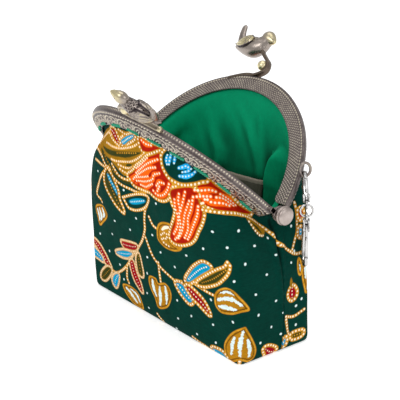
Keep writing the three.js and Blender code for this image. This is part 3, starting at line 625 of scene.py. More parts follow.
M_PRINT = print_material()
# the lining's dark mix colour is painted shade for its depth and the hollows between its folds
M_LINING = plain_cloth("lining_cotton", srgb(0, 120, 84), srgb(0, 172, 120), 0.4, 0.0, painted_shade=srgb(0, 34, 18))
M_POCKET = plain_cloth("pocket_cotton", srgb(60, 58, 48), srgb(92, 88, 76), 0.5)
M_BINDING = plain_cloth("pocket_binding", srgb(120, 108, 96), srgb(160, 148, 134), 0.5)
M_BRONZE = bronze_material()
M_BIRD = bronze_material("bird_bronze", (58, 50, 52), (150, 140, 132), (212, 200, 152), 0.28)
M_RIBBON = bronze_material("ribbon_brass", (96, 84, 74), (158, 146, 128), (226, 214, 172), 0.32)
M_SILVER = silver_material("silver_plate", (186, 185, 184), 0.13)
M_RIVET = silver_material("rivet_cap", (164, 152, 146), 0.33)
M_THREAD = plain_cloth("sewing_thread", srgb(8, 100, 74), srgb(60, 170, 134), 0.25, 0.1, 0.6)
# near-black: painted shade for the stitch holes
M_HOLE_SHADE = bronze_material("stitch_hole_shade", (10, 10, 10), (22, 20, 18), (30, 28, 26), 0.7)
M_DARK = silver_material("dark_pin", (66, 60, 58), 0.3)


# ------------------------------------------------------------------ print
INK = {k: np.array(srgb(*v)) for k, v in {
    "ground": (0, 51, 42), "ochre": (176, 122, 22), "olive": (54, 58, 20), "red": (150, 4, 24), "blue": (0, 146, 188),
    "sky": (36, 170, 232), "orange": (244, 98, 10), "deep": (164, 24, 4), "white": (240, 240, 232), "brown": (104, 66, 8), "mustard": (152, 108, 16)}.items()}
GROUND = tuple(INK["ground"])
FIELDS = ("line", "cream", "pale", "tone")


def track(points, closed, step=0.5):
    """The drawn curve through charted points as segments a few tenths long."""
    P = np.asarray(points, float)
    Q = np.concatenate([P, P[:1]]) if closed else P
    n = max(6, int(np.linalg.norm(np.diff(Q, axis=0), axis=1).sum() / step))
    C = catmull(P, n, closed)
    return np.concatenate([C, C[:1]]) if closed else C


def near(p, C):
    """Distance of points p from the curve C and how far along it the nearest place is."""
    a, d = C[:-1], np.diff(C, axis=0)
    l2 = np.maximum((d * d).sum(1), 1e-9)
    s0 = np.concatenate([[0], np.cumsum(np.sqrt(l2))])
    best, at = np.full(len(p), 1e9), np.zeros(len(p))
    for k in range(len(a)):
        e = p - a[k]
        f = np.clip((e[:, 0] * d[k, 0] + e[:, 1] * d[k, 1]) / l2[k], 0, 1)
        q = (e[:, 0] - f * d[k, 0]) ** 2 + (e[:, 1] - f * d[k, 1]) ** 2
        m = q < best
        best[m] = q[m]
        at[m] = s0[k] + f[m] * math.sqrt(l2[k])
    return np.sqrt(best), at, s0[-1]


def inside(p, C):
    """True for points within the closed curve C."""
    c = np.zeros(len(p), bool)
    x, y = p[:, 0], p[:, 1]
    for (x0, y0), (x1, y1) in zip(C[:-1], C[1:]):
        if y0 != y1:
            c ^= ((y0 > y) != (y1 > y)) & (x < (x1 - x0) * (y - y0) / (y1 - y0) + x0)
    return c


def grown(C, off):
    """Closed curve moved outwards by off."""
    T = np.roll(C[:-1], -1, 0) - np.roll(C[:-1], 1, 0)
    T /= np.maximum(np.linalg.norm(T, axis=1, keepdims=True), 1e-9)
    area = (C[:-1, 0] * C[1:, 1] - C[1:, 0] * C[:-1, 1]).sum()
    N = np.stack([T[:, 1], -T[:, 0]], 1) * (1 if area > 0 else -1)
    O = C[:-1] + off * N
    return np.concatenate([O, O[:1]])


def beads(d, s, length, pitch, r):
    """Distance to a row of dots along a curve."""
    n = max(2, round(length / pitch))
    p = length / n
    return np.hypot(d, (s / p - np.round(s / p)) * p) - r


def long_axis(C):
    """Middle line of a closed leaf shape, from near one tip to near the other."""
    far = ((C[:, None] - C[None]) ** 2).sum(-1)
    a, b = sorted(np.unravel_index(far.argmax(), far.shape))
    one, two = C[a:b + 1], np.concatenate([C[b:], C[1:a + 1]])[::-1]
    f = np.linspace(0.14, 0.86, 5)
    pick = lambda Q: np.stack([np.interp(f, np.linspace(0, 1, len(Q)), Q[:, k]) for k in (0, 1)], 1)
    return (pick(one) + pick(two)) / 2


def print_fields(uv, motifs, dots):
    """Colour and line distances of the print at points uv (n, 2) in mm."""
    n = len(uv)
    fill = np.tile(INK["ground"], (n, 1))
    F = {"line": np.full(n, 5.0), "cream": np.full(n, 5.0), "pale": np.full(n, 5.0), "tone": np.zeros(n)}

    def clear(i):
        for k in ("line", "cream", "pale"):
            F[k][i] = 5.0
        F["tone"][i] = 0.0

    def least(key, i, v):
        F[key][i] = np.minimum(F[key][i], v)

    def blend(i, colour, f):
        fill[i] = fill[i] * (1 - f[:, None]) + INK[colour] * f[:, None]

    for kind, colour, points, *more in motifs:
        pts = np.asarray(points, float)
        lo, hi = pts.min(0) - 3.5, pts.max(0) + 3.5
        i = np.nonzero(((uv > lo) & (uv < hi)).all(1))[0]
        if not len(i):
            continue
        p = uv[i]
        if kind == "vine":
            d, s, L = near(p, track(pts, False))
            least("line", i, d - 0.68)
            F["cream"][i] = np.where(d < 0.9, beads(d, s, L, 1.55, 0.46), F["cream"][i])
        elif kind == "dots":
            d, s, L = near(p, track(pts, False))
            if colour:
                w = 1.3 * (0.6 + 0.4 * np.sin(math.pi * np.clip(s / L, 0.02, 0.98)))
                blend(i, colour, smooth(0.25, -0.25, d - w))
            least("cream", i, beads(d, s, L, 1.55, 0.47))
        elif kind == "seeds":
            d, s, L = near(p, track(pts, False))
            least("line", i, beads(d, s, L, 1.5, 0.4))
        elif kind == "stroke":
            d, s, L = near(p, track(pts, False))
            w = more[0] * (0.55 + 0.45 * np.sin(math.pi * np.clip(s / L, 0.06, 0.94)))
            f = smooth(0.17, -0.17, d - w)
            blend(i, colour, f)
            for k in ("line", "cream", "pale"):
                F[k][i] = np.where(f > 0.5, 5.0, F[k][i])
            if colour == "sky":
                least("pale", i, beads(d, s, L, 1.4, 0.4))
            if colour == "white":
                least("cream", i, d - w)
        else:
            C = track(pts, True)
            d, s, L = near(p, C)
            sd = np.where(inside(p, C), -d, d)
            if kind == "blob" or kind == "mass":
                f = smooth(0.2, -0.2, sd)
                blend(i, colour, f)
                clear(i[sd < -0.05])
                if colour == "blue":
                    axis = long_axis(C)
                    dd, ss, LL = near(p, track(axis, False))
                    least("pale", i, np.where(sd < -0.2, beads(dd, ss, LL, 1.3, 0.36), 5.0))
            elif kind in ("pod", "scroll"):
                clear(i[sd < 0])
                blend(i, "ochre", smooth(0.2, -0.2, sd))
                line = np.abs(sd + 1.15) - 0.24
                blend(i, "brown", smooth(0.2, -0.1, line) * (sd < 0))
                least("line", i, np.where(sd > -0.85, sd, 5.0))
                for stripe in (more[0] if more else []):
                    dd, ss, LL = near(p, track(stripe, False))
                    w = 0.86 * np.sin(math.pi * np.clip(ss / LL, 0.14, 0.86)) ** 0.6
                    w += 0.85 * (noise2(p[:, 0] * 2.1, p[:, 1] * 2.1, 3) - 0.5) + 0.06
                    least("pale", i, np.where(sd < -1.2, dd - w, 5.0))
            else:
                off, half, r = (0.62, 0.58, 0.32) if kind == "tan" else (0.85, 0.8, 0.48)
                O = grown(C, off)
                od, os_, OL = near(p, O)
                within = inside(p, O)
                clear(i[within])
                tint = smooth(0.2, -0.3, sd)
                blend(i, "ochre", smooth(0.2, -0.2, np.where(within, -od, od) - 0.2))
                blend(i, colour, tint)
                least("line", i, od - half)
                keep = od < half + 0.25
                F["cream"][i] = np.where(keep, beads(od, os_, OL, 1.35 if kind == "tan" else 1.65, r), F["cream"][i])
                if kind == "tan":
                    F["tone"][i] = np.where(keep, 1.0, F["tone"][i])
                if kind in ("leaf", "tan"):
                    dd, ss, LL = near(p, track(long_axis(C), False))
                    row = np.where(sd < -0.25, beads(dd, ss, LL, 1.4, 0.3 if kind == "tan" else 0.38), 5.0)
                    least("line" if colour == "olive" else "cream", i, row)
    for k, (u, v) in enumerate(dots):
        i = np.nonzero((np.abs(uv[:, 0] - u) < 2) & (np.abs(uv[:, 1] - v) < 2))[0]
        e = uv[i] - (u, v)
        a = 0.9 + 2.4 * ((k * 37) % 11) / 11
        c, s = math.cos(a), math.sin(a)
        F["pale"][i] = np.minimum(F["pale"][i], np.hypot(e[:, 0] * c + e[:, 1] * s, 0.82 * (e[:, 1] * c - e[:, 0] * s)) - 0.52)
    mottle = 1 + 0.16 * fbm(uv[:, 0] / 7, uv[:, 1] / 7, 5) + 0.12 * fbm(uv[:, 0] * 1.3, uv[:, 1] * 1.3, 9, 2)
    F["fill"] = fill * mottle[:, None]
    return F


# Charted in millimetres on the flat panel: kind, ink, points, and the stripes or the width.
PRINT_FRONT = [
    ("mass", "mustard", [(-23.4, 84.9), (-16.4, 87.3), (-4.2, 89.3), (5.4, 88.7), (5.5, 84.5), (10.8, 83.6), (16.6, 85.3), (10.5, 81.5), (2.6, 76.6), (-6.9, 70.7), (-10.2, 67.9), (-15.4, 71), (-22.2, 72.9), (-34.3, 71.8), (-35.9, 74.4), (-31.4, 79.4)]),
    ("blob", "ground", [(-32.5, 70.9), (-27.5, 69), (-25, 67.3), (-30.5, 67.2), (-32.9, 68.3)]),
    ("blob", "olive", [(-28, 75.8), (-20.1, 76.9), (-10.4, 78.8), (3.9, 82.3), (0.5, 80), (-6.9, 77.1), (-14.1, 75.7), (-21.7, 74.5)]),
    ("blob", "olive", [(-29.6, 74.6), (-24.5, 73.1), (-20.3, 70.5), (-15.7, 67.7), (-10.5, 66), (-6.6, 65.2), (-9.6, 64), (-15.1, 65.3), (-20.2, 67.9), (-24.7, 70.6), (-28.3, 72.7)]),
    ("blob", "olive", [(-7.7, 73.9), (-5.3, 74.9), (-2.8, 74.8), (-5, 73.1), (-7.2, 72.6)]),
    ("seeds", "yellow", [(-13.3, 77.4), (-6.5, 79.2), (0.8, 81.1)]),
    ("seeds", "yellow", [(-26.1, 73.2), (-21.6, 70.4), (-16.5, 67.7), (-11.3, 65.7)]),
    ("leaf", "red", [(-18.6, 86.1), (-14.4, 87.3), (-11.3, 83.5), (-12, 81.5), (-13.5, 82), (-16.4, 84.4)]),
    ("leaf", "blue", [(-9.3, 83.8), (-4.5, 86.9), (0.9, 89.3), (0.8, 87.6), (-2.9, 85.2), (-7.7, 82.4)]),
    ("vine", None, [(-33.9, 75.3), (-30.5, 77.9), (-24.9, 81.7), (-20, 84.7), (-18.6, 86.1)]),
    ("vine", None, [(-23.2, 78.8), (-17.1, 79.2), (-12.3, 79.7), (-6.9, 81.2), (-2.6, 82.7), (1.2, 84.5), (3.4, 86.3), (3.1, 87.6)]),
    ("vine", None, [(-18.7, 73.2), (-13.4, 73.8), (-8.3, 75), (-4.1, 76.1), (0.1, 78.1), (3.4, 80.2), (6.8, 82.2), (10.5, 83.6), (14.5, 84.8), (17.5, 85.2)]),
    ("vine", None, [(-13.1, 72.4), (-9.3, 72.1), (-5.3, 72.9), (-1.1, 75.1)]),
    ("vine", None, [(-12.4, 70.5), (-9.3, 69.6), (-6.4, 69.8), (-2.5, 72.5)]),
    ("vine", None, [(-18.5, 71.1), (-15.9, 69), (-13.7, 67), (-10, 66.2), (-7.2, 66.3)]),
    ("vine", None, [(-10.4, 88.5), (-6.9, 88), (-4.3, 87.8), (-1, 89.5)]),
    ("vine", None, [(-19.7, 83.9), (-16.7, 82.5), (-13.6, 81.4), (-11.6, 80.9)]),
    ("vine", None, [(-23.2, 67.9), (-28.5, 62.7), (-33.6, 55.9), (-37.4, 49.8), (-34.3, 48.5), (-33.3, 47.5)]),
    ("vine", None, [(-35.8, 67.1), (-29, 67.5), (-23.9, 67.3)]),
    ("leaf", "olive", [(-22, 67.7), (-19.6, 65.1), (-18, 62.3), (-16.7, 58.8), (-16.7, 54.9), (-15.1, 49.6), (-19.1, 50.9), (-22, 53.7), (-24.5, 56.7), (-25.8, 60.3), (-25, 64.6)]),
    ("blob", "blue", [(-23.5, 65.1), (-21.4, 64.5), (-19.7, 62.4), (-17.9, 60.4), (-17.1, 57.4), (-17.5, 56.4), (-19.0, 58.2), (-20.8, 60.8), (-22.7, 63.2)]),
    ("vine", None, [(-38.9, 72.2), (-29.8, 71.9), (-26.1, 69.5), (-21.5, 67.2), (-17.4, 64.5), (-12.6, 62.7), (-7.2, 62.1), (-1.5, 62.2), (2.4, 63.5)]),
    ("pod", None, [(-42, 42.4), (-34.2, 45.8), (-30.5, 44.1), (-31, 41), (-37.4, 35.5), (-41.2, 32.9), (-42.4, 36.6)], [[(-40.5, 41.6), (-40.2, 38.5), (-40.6, 36.0)], [(-37.8, 43.1), (-37.3, 40.0), (-38.6, 36.6)], [(-34.6, 43.9), (-33.9, 42.0), (-35.2, 39.2)]]),
    ("vine", None, [(2.3, 63.1), (4.5, 61.5), (3.2, 58.7), (0.9, 55.5), (-0.7, 50.4), (-1.2, 46.1), (-2.5, 42.8)]),
    ("vine", None, [(2.8, 52.8), (5.1, 49.6), (8.1, 48.9)]),
    ("vine", None, [(-2.5, 42.8), (-4.4, 39.2), (-7.4, 35.5), (-12, 30.6), (-17, 25.2), (-21.6, 20.6), (-27, 15.9), (-32, 12.8), (-35.3, 12.8)]),
    ("vine", None, [(-2.5, 42.8), (-1.4, 41), (-0.1, 37.9), (1.6, 34.1), (4, 31.4), (7.5, 29.2), (11.9, 27.3), (15.3, 26.4), (19.4, 27.8)]),
    ("vine", None, [(5, 31.8), (4.5, 27.5), (4.3, 22.6)]),
    ("vine", None, [(-21.6, 20.6), (-23.4, 13.9), (-22.3, 11.3)]),
    ("vine", None, [(26.8, 29.6), (31.7, 28.5), (35.9, 27.8), (39.1, 27.5)]),
    ("vine", None, [(-13.6, 56.6), (-7.9, 59.3), (-0.8, 61.8), (5.2, 62.4), (3.2, 58.7), (-0.3, 55.4), (-5.5, 53.1), (-10.4, 52.6), (-12.2, 54.5), (-13.6, 56.6)]),
    ("blob", "blue", [(-10.0, 55.9), (-7.6, 57.5), (-3.5, 59.0), (0.2, 59.8), (2.0, 59.4), (-0.6, 57.6), (-4.5, 56.0), (-8.5, 55.1)]),
    ("tan", "red", [(-47.6, 23.9), (-43.5, 22.5), (-40.2, 19.4), (-37.8, 15.9), (-36.4, 13.5), (-39.9, 14.4), (-43.2, 17), (-46.4, 20.8), (-50.2, 22.6)]),
    ("tan", "blue", [(-49.6, 19.7), (-43.7, 17.5), (-42.3, 15.1), (-46.6, 15.4), (-51, 16.5)]),
    ("tan", "red", [(-22.7, 31.8), (-15.5, 33.7), (-9.6, 34.7), (-11.4, 31.9), (-17.5, 29.9), (-21.6, 29.4)]),
    ("tan", "blue", [(-29.9, 23.9), (-21.7, 27.7), (-14.8, 28.8), (-19.4, 25.3), (-25.5, 23.6)]),
    ("tan", "olive", [(-11.8, 27.8), (-9.3, 30.9), (-8.5, 25.6), (-8.9, 20.5), (-11.7, 20.1), (-12.4, 23.4)]),
    ("tan", "red", [(-18.3, 23.3), (-15.2, 25.1), (-14, 19.9), (-11.9, 15.5), (-11.2, 11.1), (-15.6, 13.9), (-17.9, 18.3)]),
    ("tan", "olive", [(-45.2, 5.7), (-43.8, 9.2), (-39.6, 13), (-36.6, 12.6), (-39.1, 8.6), (-42.4, 5.6)]),
    ("tan", "blue", [(-35.9, 9.1), (-33.5, 11.4), (-30.3, 12.3), (-31.9, 7.5), (-34.1, 4.8), (-36.3, 6.7)]),
    ("pod", None, [(-27.5, 8.8), (-21.3, 10.1), (-15.6, 9.3), (-13.2, 5.8), (-13.4, 1), (-19.5, 0.9), (-24.1, 3), (-26.9, 5.7)], [[(-25.1, 7.6), (-21.8, 6.3), (-17.4, 3.3)], [(-21.2, 8.8), (-17.0, 7.9), (-14.7, 4.7)]]),
    ("pod", None, [(-3.2, 22.6), (1, 23.1), (2.5, 21.2), (7, 22.8), (10, 21), (10.5, 16.9), (8, 11.7), (3.6, 8.7), (-0, 8.1), (-1.1, 12.2), (-3.3, 15.9), (-4.4, 19.3)], [[(-1.4, 21.2), (-1.3, 17.7), (-0.1, 14.1)], [(3.1, 19.8), (3.0, 15.3), (1.9, 10.1)], [(7.2, 21.2), (7.3, 17.0), (6.7, 12.4)]]),
    ("leaf", "blue", [(22.4, 29.1), (24.9, 33.1), (29, 38.1), (33.8, 41.4), (37.5, 40.7), (36.5, 38.7), (30.9, 34.5), (25.1, 29.7)]),
    ("leaf", "olive", [(29.5, 30.5), (35.3, 35.2), (40.9, 39.5), (45.3, 42.2), (46.3, 44.1), (45.8, 41.1), (43.4, 37.6), (39.7, 33.9), (33.8, 30.8)]),
    ("leaf", "blue", [(15.1, 25.7), (19, 26.3), (22.3, 24), (25, 21.5), (22.3, 18.8), (17.9, 21.1), (16, 23.2)]),
    ("leaf", "red", [(21.8, 26.2), (25.4, 26.4), (30.1, 24), (33.2, 21), (34.5, 17.7), (28.7, 20.8), (24.7, 22.8)]),
    ("pod", None, [(38.7, 28.1), (41, 31.2), (44.8, 33.4), (48.4, 33.3), (51.4, 30.3), (55.4, 24.4), (51.3, 24), (46.6, 22.2), (41.6, 21.3), (38.6, 23.5)], [[(41.1, 29.8), (45.1, 32.1), (49.2, 31.6)], [(39.8, 26.3), (44.5, 28.3), (48.7, 29.1), (52.0, 27.0)], [(40.3, 23.5), (44.7, 24.6), (49.5, 25.0)]]),
    ("pod", None, [(52.9, 17.7), (54.2, 16), (56.7, 11.1), (58.6, 5.6), (57.4, 1.9), (54.3, 1), (51, 2.6), (46.6, -0), (43.7, 2.2), (42.6, 6.7), (45.4, 12.1), (49.5, 16.4)], [[(48.7, 12.9), (47.3, 8.7), (47.0, 4.1)], [(52.3, 16.2), (51.3, 11.2), (51.0, 4.8)], [(54.4, 11.4), (55.3, 7.4), (55.0, 3.6)]]),
    ("vine", None, [(51, 2.2), (50.7, -1.9)]),
    ("scroll", "ochre", [(7.3, 47.7), (8.3, 50.1), (9.6, 51.9), (13, 53.9), (17.5, 54.5), (18.4, 52.5), (16.7, 49.7), (15.7, 47.1), (16.9, 45.4), (20, 44.9), (23.3, 45.5), (21.5, 43.4), (17.7, 41.8), (12.9, 41.2), (9.4, 42), (7, 44)]),
    ("stroke", "white", [(11.3, 49.8), (13.7, 51.6), (16.5, 52.5), (17, 51.7)], 0.62),
    ("dots", None, [(10, 47), (12.7, 48.9), (14.4, 48.3), (12.9, 46.2), (10.3, 45.4), (11.2, 43.6), (14.1, 43)]),
    ("stroke", "brown", [(8.6, 47.2), (8.5, 44.5), (10.7, 42.6), (14, 42.2), (18.3, 42.9)], 0.16),
    ("petal", "deep", [(4.9, 88.7), (8, 88.8), (11.9, 87.6), (16.2, 87.1), (18.6, 86), (14.5, 85.1), (7.9, 83.4), (5.3, 84.7), (4.7, 86.6)]),
    ("stroke", "deep", [(6.1, 84), (11, 85), (16.6, 85.9)], 0.9),
    ("dots", "orange", [(6.2, 88), (8.5, 87), (11.8, 87)]),
    ("petal", "deep", [(17.5, 85.1), (12.9, 83.3), (8.4, 81.1), (3.8, 77.6), (-0.2, 74.7), (-3.2, 71.7), (-7.6, 68.8), (-6.1, 67.3), (-5, 65.7), (-1.9, 65), (1.8, 65.2), (6.9, 65.9), (9.7, 65.2), (13.1, 64.8), (16.8, 65.5), (19.7, 67.7), (21.7, 70.6), (22.4, 73), (20.7, 74.9), (19.4, 76.3), (18, 78.2), (17.3, 80.9)]),
    ("petal", "deep", [(38, 77.1), (42.8, 74.9), (48.9, 71.5), (53, 68), (59.4, 64.3), (58.5, 63.8), (50.6, 64.7), (44.4, 65.8), (40.9, 66.9), (37.8, 68.4), (35, 70.7), (32.7, 73)]),
    ("petal", "deep", [(21.8, 70.9), (21.7, 64.8), (22.8, 61.8), (21, 56.5), (18.2, 51.8), (16.3, 48), (18.9, 46.7), (23.3, 47.4), (27.8, 49.4), (31.2, 52.1), (33.4, 55.9), (35.7, 60.4), (36.7, 64.4), (35.7, 67.8), (32.7, 73.5)]),
    ("stroke", "orange", [(-5, 67.8), (0, 70.2), (5, 73.5), (9, 76.8)], 2.3),
    ("stroke", "orange", [(-3, 66.6), (2, 67.4), (7, 68.6)], 1.2),
    ("stroke", "deep", [(16.5, 83.6), (16.9, 80.9), (14.8, 78.5), (18.1, 77), (19.7, 74.1)], 1.3),
    ("stroke", "deep", [(17.5, 74.9), (14.2, 72), (8.5, 70.9)], 0.6),
    ("stroke", "deep", [(19.4, 71.8), (16, 69.4), (11.4, 68.8)], 0.6),
    ("stroke", "deep", [(11.3, 78.6), (5.4, 74.2), (-0.5, 69.7)], 0.4),
    ("stroke", "deep", [(-4.5, 67.4), (0.9, 66.3), (8.3, 66.9)], 0.6),
    ("stroke", "deep", [(21.2, 73.2), (20.2, 70.3), (16.8, 66.9)], 0.6),
    ("dots", "orange", [(14.6, 81.8), (10.8, 80), (6.7, 77.7), (2.1, 74.6), (-1.3, 71.8)]),
    ("dots", "orange", [(13, 78.2), (8.7, 76.8), (4.1, 74.3), (-0.5, 71.2), (-4.3, 68)]),
    ("dots", "orange", [(15.2, 76.3), (11.6, 74.8), (10, 72.2), (3.9, 69.4), (-2.2, 67.7)]),
    ("dots", "orange", [(9.8, 70.2), (4.2, 67), (0.2, 66.5)]),
    ("dots", "orange", [(20.7, 73.1), (19.6, 70.5), (16.5, 67.3), (12.6, 66.2), (10.1, 67.3)]),
    ("dots", "orange", [(14.3, 70.5), (12.9, 68.1)]),
    ("dots", "orange", [(8.5, 81.0), (4.0, 77.6), (-0.4, 74.4)]),
    ("dots", "orange", [(7.4, 72.9), (2.4, 71.0), (-3.2, 69.0)]),
    ("dots", "orange", [(17.6, 72.6), (14.6, 72.4), (12.6, 70.4)]),
    ("stroke", "deep", [(36.4, 75.1), (40, 75), (44.8, 72.7), (50.8, 68.4), (55.7, 65.7)], 0.9),
    ("stroke", "deep", [(34.4, 72), (37.3, 69), (40.9, 67.4), (45.2, 66.2), (52.1, 65)], 0.8),
    ("dots", "orange", [(33.8, 72.8), (36.7, 72.9), (40.1, 73.3), (42.6, 72.8)]),
    ("dots", "orange", [(44.6, 72.0), (48.4, 70.2), (52.0, 67.6)]),
    ("dots", "orange", [(34.6, 70.4), (37.2, 70.8), (40.4, 70.8)]),
    ("dots", "orange", [(37.3, 68.3), (38.5, 70.2), (39.7, 69), (42, 68.5), (44.7, 68.2), (48, 67.2)]),
    ("dots", "orange", [(42.7, 70.5), (45.8, 70.1), (47.7, 68.9), (50.4, 67.3)]),
    ("vine", None, [(36.8, 65.6), (40.7, 65.2), (44.7, 64.8), (52.9, 63.7)]),
    ("stroke", "deep", [(26.6, 72), (28.8, 67), (27.7, 62.6), (25.5, 59.2)], 0.8),
    ("stroke", "deep", [(32.3, 68.9), (29.4, 63), (25.3, 57.1), (25.4, 53.2)], 0.65),
    ("stroke", "deep", [(18.5, 47.9), (23, 48), (28.2, 50.5), (31.5, 55.1), (33.5, 59.9), (35, 64.4)], 0.7),
    ("dots", "orange", [(28.9, 71.5), (26.9, 66.3), (24.4, 60.9), (24.3, 56.2), (22.6, 51.1), (20, 48.3)]),
    ("dots", "orange", [(22.8, 67.1), (22.6, 63.1), (23.5, 59.3), (22.3, 54.4), (19.7, 50.7)]),
    ("dots", "orange", [(33, 70.1), (31.4, 64.7), (29.1, 60.2), (28.3, 55.3), (25.7, 50.7)]),
    ("dots", "orange", [(25.6, 70.2), (24.8, 66.4), (25.4, 62.6)]),
    ("dots", "orange", [(30.9, 68.2), (28.9, 64.4), (27.2, 60.9), (26.0, 57.0), (24.4, 52.9), (22.2, 49.6)]),
    ("dots", "orange", [(35, 66.6), (34.2, 62.7), (32.3, 58.6), (29.7, 54), (27.3, 50.5)]),
    ("disc", "ground", [(18.3, 84.9), (17.6, 82.3), (18.1, 79.9), (19.5, 77.9), (21.5, 76.1), (24.3, 75.3), (27.1, 74.9), (30.6, 75.2), (33.7, 75.8), (36.3, 76.7), (38.4, 77.5), (34.2, 81.2), (27.9, 85.3), (22.8, 88.3)]),
    ("stroke", "sky", [(20.4, 84.7), (19.8, 82.7), (20.2, 80.9)], 0.7),
    ("stroke", "sky", [(22.2, 85.3), (21.6, 83.2), (21.2, 81)], 0.72),
    ("stroke", "sky", [(23.9, 84.7), (23.7, 83.1), (23.6, 81.9)], 0.7),
    ("stroke", "sky", [(25.9, 80.4), (27.6, 80.9), (29.4, 81.6), (30.5, 79.8)], 1.0),
    ("stroke", "sky", [(27.6, 79.0), (30.0, 79.6), (31.2, 80.6)], 0.6),
    ("stroke", "sky", [(26.4, 77.3), (29.4, 77.5), (32, 78.4), (33, 79.5)], 0.95),
    ("mass", "mustard", [(55.5, 62.6), (61.3, 60.0), (66.7, 56.0), (64.5, 53.6), (61.0, 54.4), (58, 57.6)]),
    ("stroke", "olive", [(58.2, 60.0), (61.2, 57.2), (63.2, 55.2)], 0.7),
    ("seeds", "yellow", [(57.4, 60.6), (60.0, 57.0), (62.6, 54.8)]),
    ("dots", None, [(56.6, 60.6), (59.0, 57.0), (61.8, 54.4), (64.6, 54.0)]),
    ("vine", None, [(52.9, 63.7), (57.4, 62.4), (62.1, 60.1), (66.2, 57.6), (68.6, 55), (71, 52.2), (72.8, 50.8)]),
    ("vine", None, [(72.4, 56.7), (73.7, 52.4), (75.5, 49.8), (77, 47)]),
    ("blob", "brown", [(72.2, 57.4), (73.7, 56.7), (74.9, 54.3), (73.9, 53.4), (72.6, 55.1)]),
    ("leaf", "red", [(62.8, 4.2), (65.5, 4.4), (68.9, 2.4), (67.8, 0.1), (64.9, -0.1)]),
    ("vine", None, [(-1.8, 3.7), (-0.8, 2.3), (0.9, 0.9)]),
    ("vine", None, [(22.1, 1.8), (26.3, 0.9), (32.7, 0.2)]),
    ("leaf", "blue", [(34.9, 1.4), (38, 2.3), (42.1, 2.2), (44.7, -0.3), (38.6, -1.8), (36.5, -0.4)]),
]
DOTS_FRONT = [(-6.7, 49.1), (-24.3, 41.7), (-12.8, 41.4), (-30.4, 32.4), (-42.3, 28.4), (-36.3, 22.1), (-28.1, 18.4), (-2.2, 31.8), (-4.7, 23.2), (3.4, 44.6), (7.6, 37.5), (15.9, 33.4), (25, 42.4), (35.2, 48.2), (40.3, 56.7), (46.1, 50.8), (50.7, 57.5), (58.1, 50.6), (70.2, 44.9), (53.8, 43.8), (64.1, 37.5), (48.9, 37.4), (58.5, 30.1), (69.1, 24.5), (59.7, 20.9), (48.1, 19.5), (36.2, 13.4), (66.4, 13.7), (25.5, 4.6), (37.6, 5.4), (60.7, 7.9), (71.5, 8.6), (14.1, 16.9), (36.4, 25.1), (13.6, 7.7), (22.9, 12.5), (-8.1, 4.3), (-7, 12.5), (-26.3, 11.6), (10.6, 1.1), (10.6, 61.5), (67.4, 52.6), (-33.4, 62.3), (-12.2, 60.4), (74.3, 31.7), (73, 18.1)]
PRINT_REAR = [
    ("vine", None, [(-66.4, 50.2), (-64.8, 47.6), (-63.1, 46.0), (-61, 44.0), (-59.3, 42.5), (-58, 41.8)]),
    ("vine", None, [(-58, 43.1), (-56.2, 46.3), (-54.4, 49.5), (-53.6, 53.1), (-52.5, 57.9), (-52, 61.3)]),
    ("vine", None, [(-58.2, 41.6), (-55.2, 40.2), (-52.5, 40.1)]),
    ("leaf", "red", [(-51.3, 57.4), (-49.6, 57.4), (-49.6, 55.3), (-51, 53.9), (-51.7, 55.4)]),
    ("leaf", "blue", [(-52.8, 50), (-51.6, 49.9), (-51.3, 48), (-52.5, 46.7), (-53.3, 47.9)]),
    ("pod", None, [(-55, 38.4), (-53.4, 37.4), (-52.1, 33.3), (-53.4, 29.9), (-55.1, 31.3), (-55.6, 35.1)], [[(-54.1, 36.3), (-53.7, 33.5), (-54.4, 31.4)]]),
    ("leaf", "red", [(-60.9, 25.6), (-61.3, 23.6), (-60.2, 22.1), (-58.6, 21.7), (-56.9, 23.2), (-57.3, 25.2), (-58.9, 26.9)]),
    ("blob", "mustard", [(-59.7, 31.4), (-60.6, 29.4), (-60.3, 27.4), (-59.3, 26.8), (-58.7, 28.8)]),
    ("vine", None, [(-63.4, 15.2), (-59, 13.8), (-55.2, 14.4), (-52.8, 15.1)]),
    ("vine", None, [(-63.4, 13.9), (-62.4, 8), (-60.9, 5.4)]),
    ("leaf", "olive", [(-60.1, 5.3), (-57.5, 5.6), (-54.3, 5.3), (-54.2, 4.1), (-57, 3.7), (-59.5, 4)]),
    ("leaf", "blue", [(-66, 3.5), (-64.8, 5.1), (-63.5, 5), (-63.7, 3.3), (-64.6, 2.2)]),
]
DOTS_REAR = [(-56.8, 53.1), (-59.4, 37.9), (-57.2, 18), (-57.5, 9.4), (-58.3, -1.3)]


def moved(group, du, dv, turn=0.0, mirror=False, about=(0.0, 0.0)):
    """Copy of charted motifs, turned about a point and shifted."""
    c, s = math.cos(math.radians(turn)), math.sin(math.radians(turn))

    def put(pts):
        out = []
        for u, v in pts:
            a, b = (-(u - about[0]) if mirror else u - about[0]), v - about[1]
            out.append((about[0] + c * a - s * b + du, about[1] + s * a + c * b + dv))
        return out
    return [(m[0], m[1], put(m[2]), *[[put(l) for l in e] if isinstance(e, list) else e for e in m[3:]]) for m in group]


def centre(group):
    P = np.concatenate([np.asarray(m[2], float) for m in group])
    return (P.min(0) + P.max(0)) / 2


def placed(group, u, v, turn=0.0, mirror=False):
    c = centre(group)
    return moved(group, u - c[0], v - c[1], turn, mirror, tuple(c))


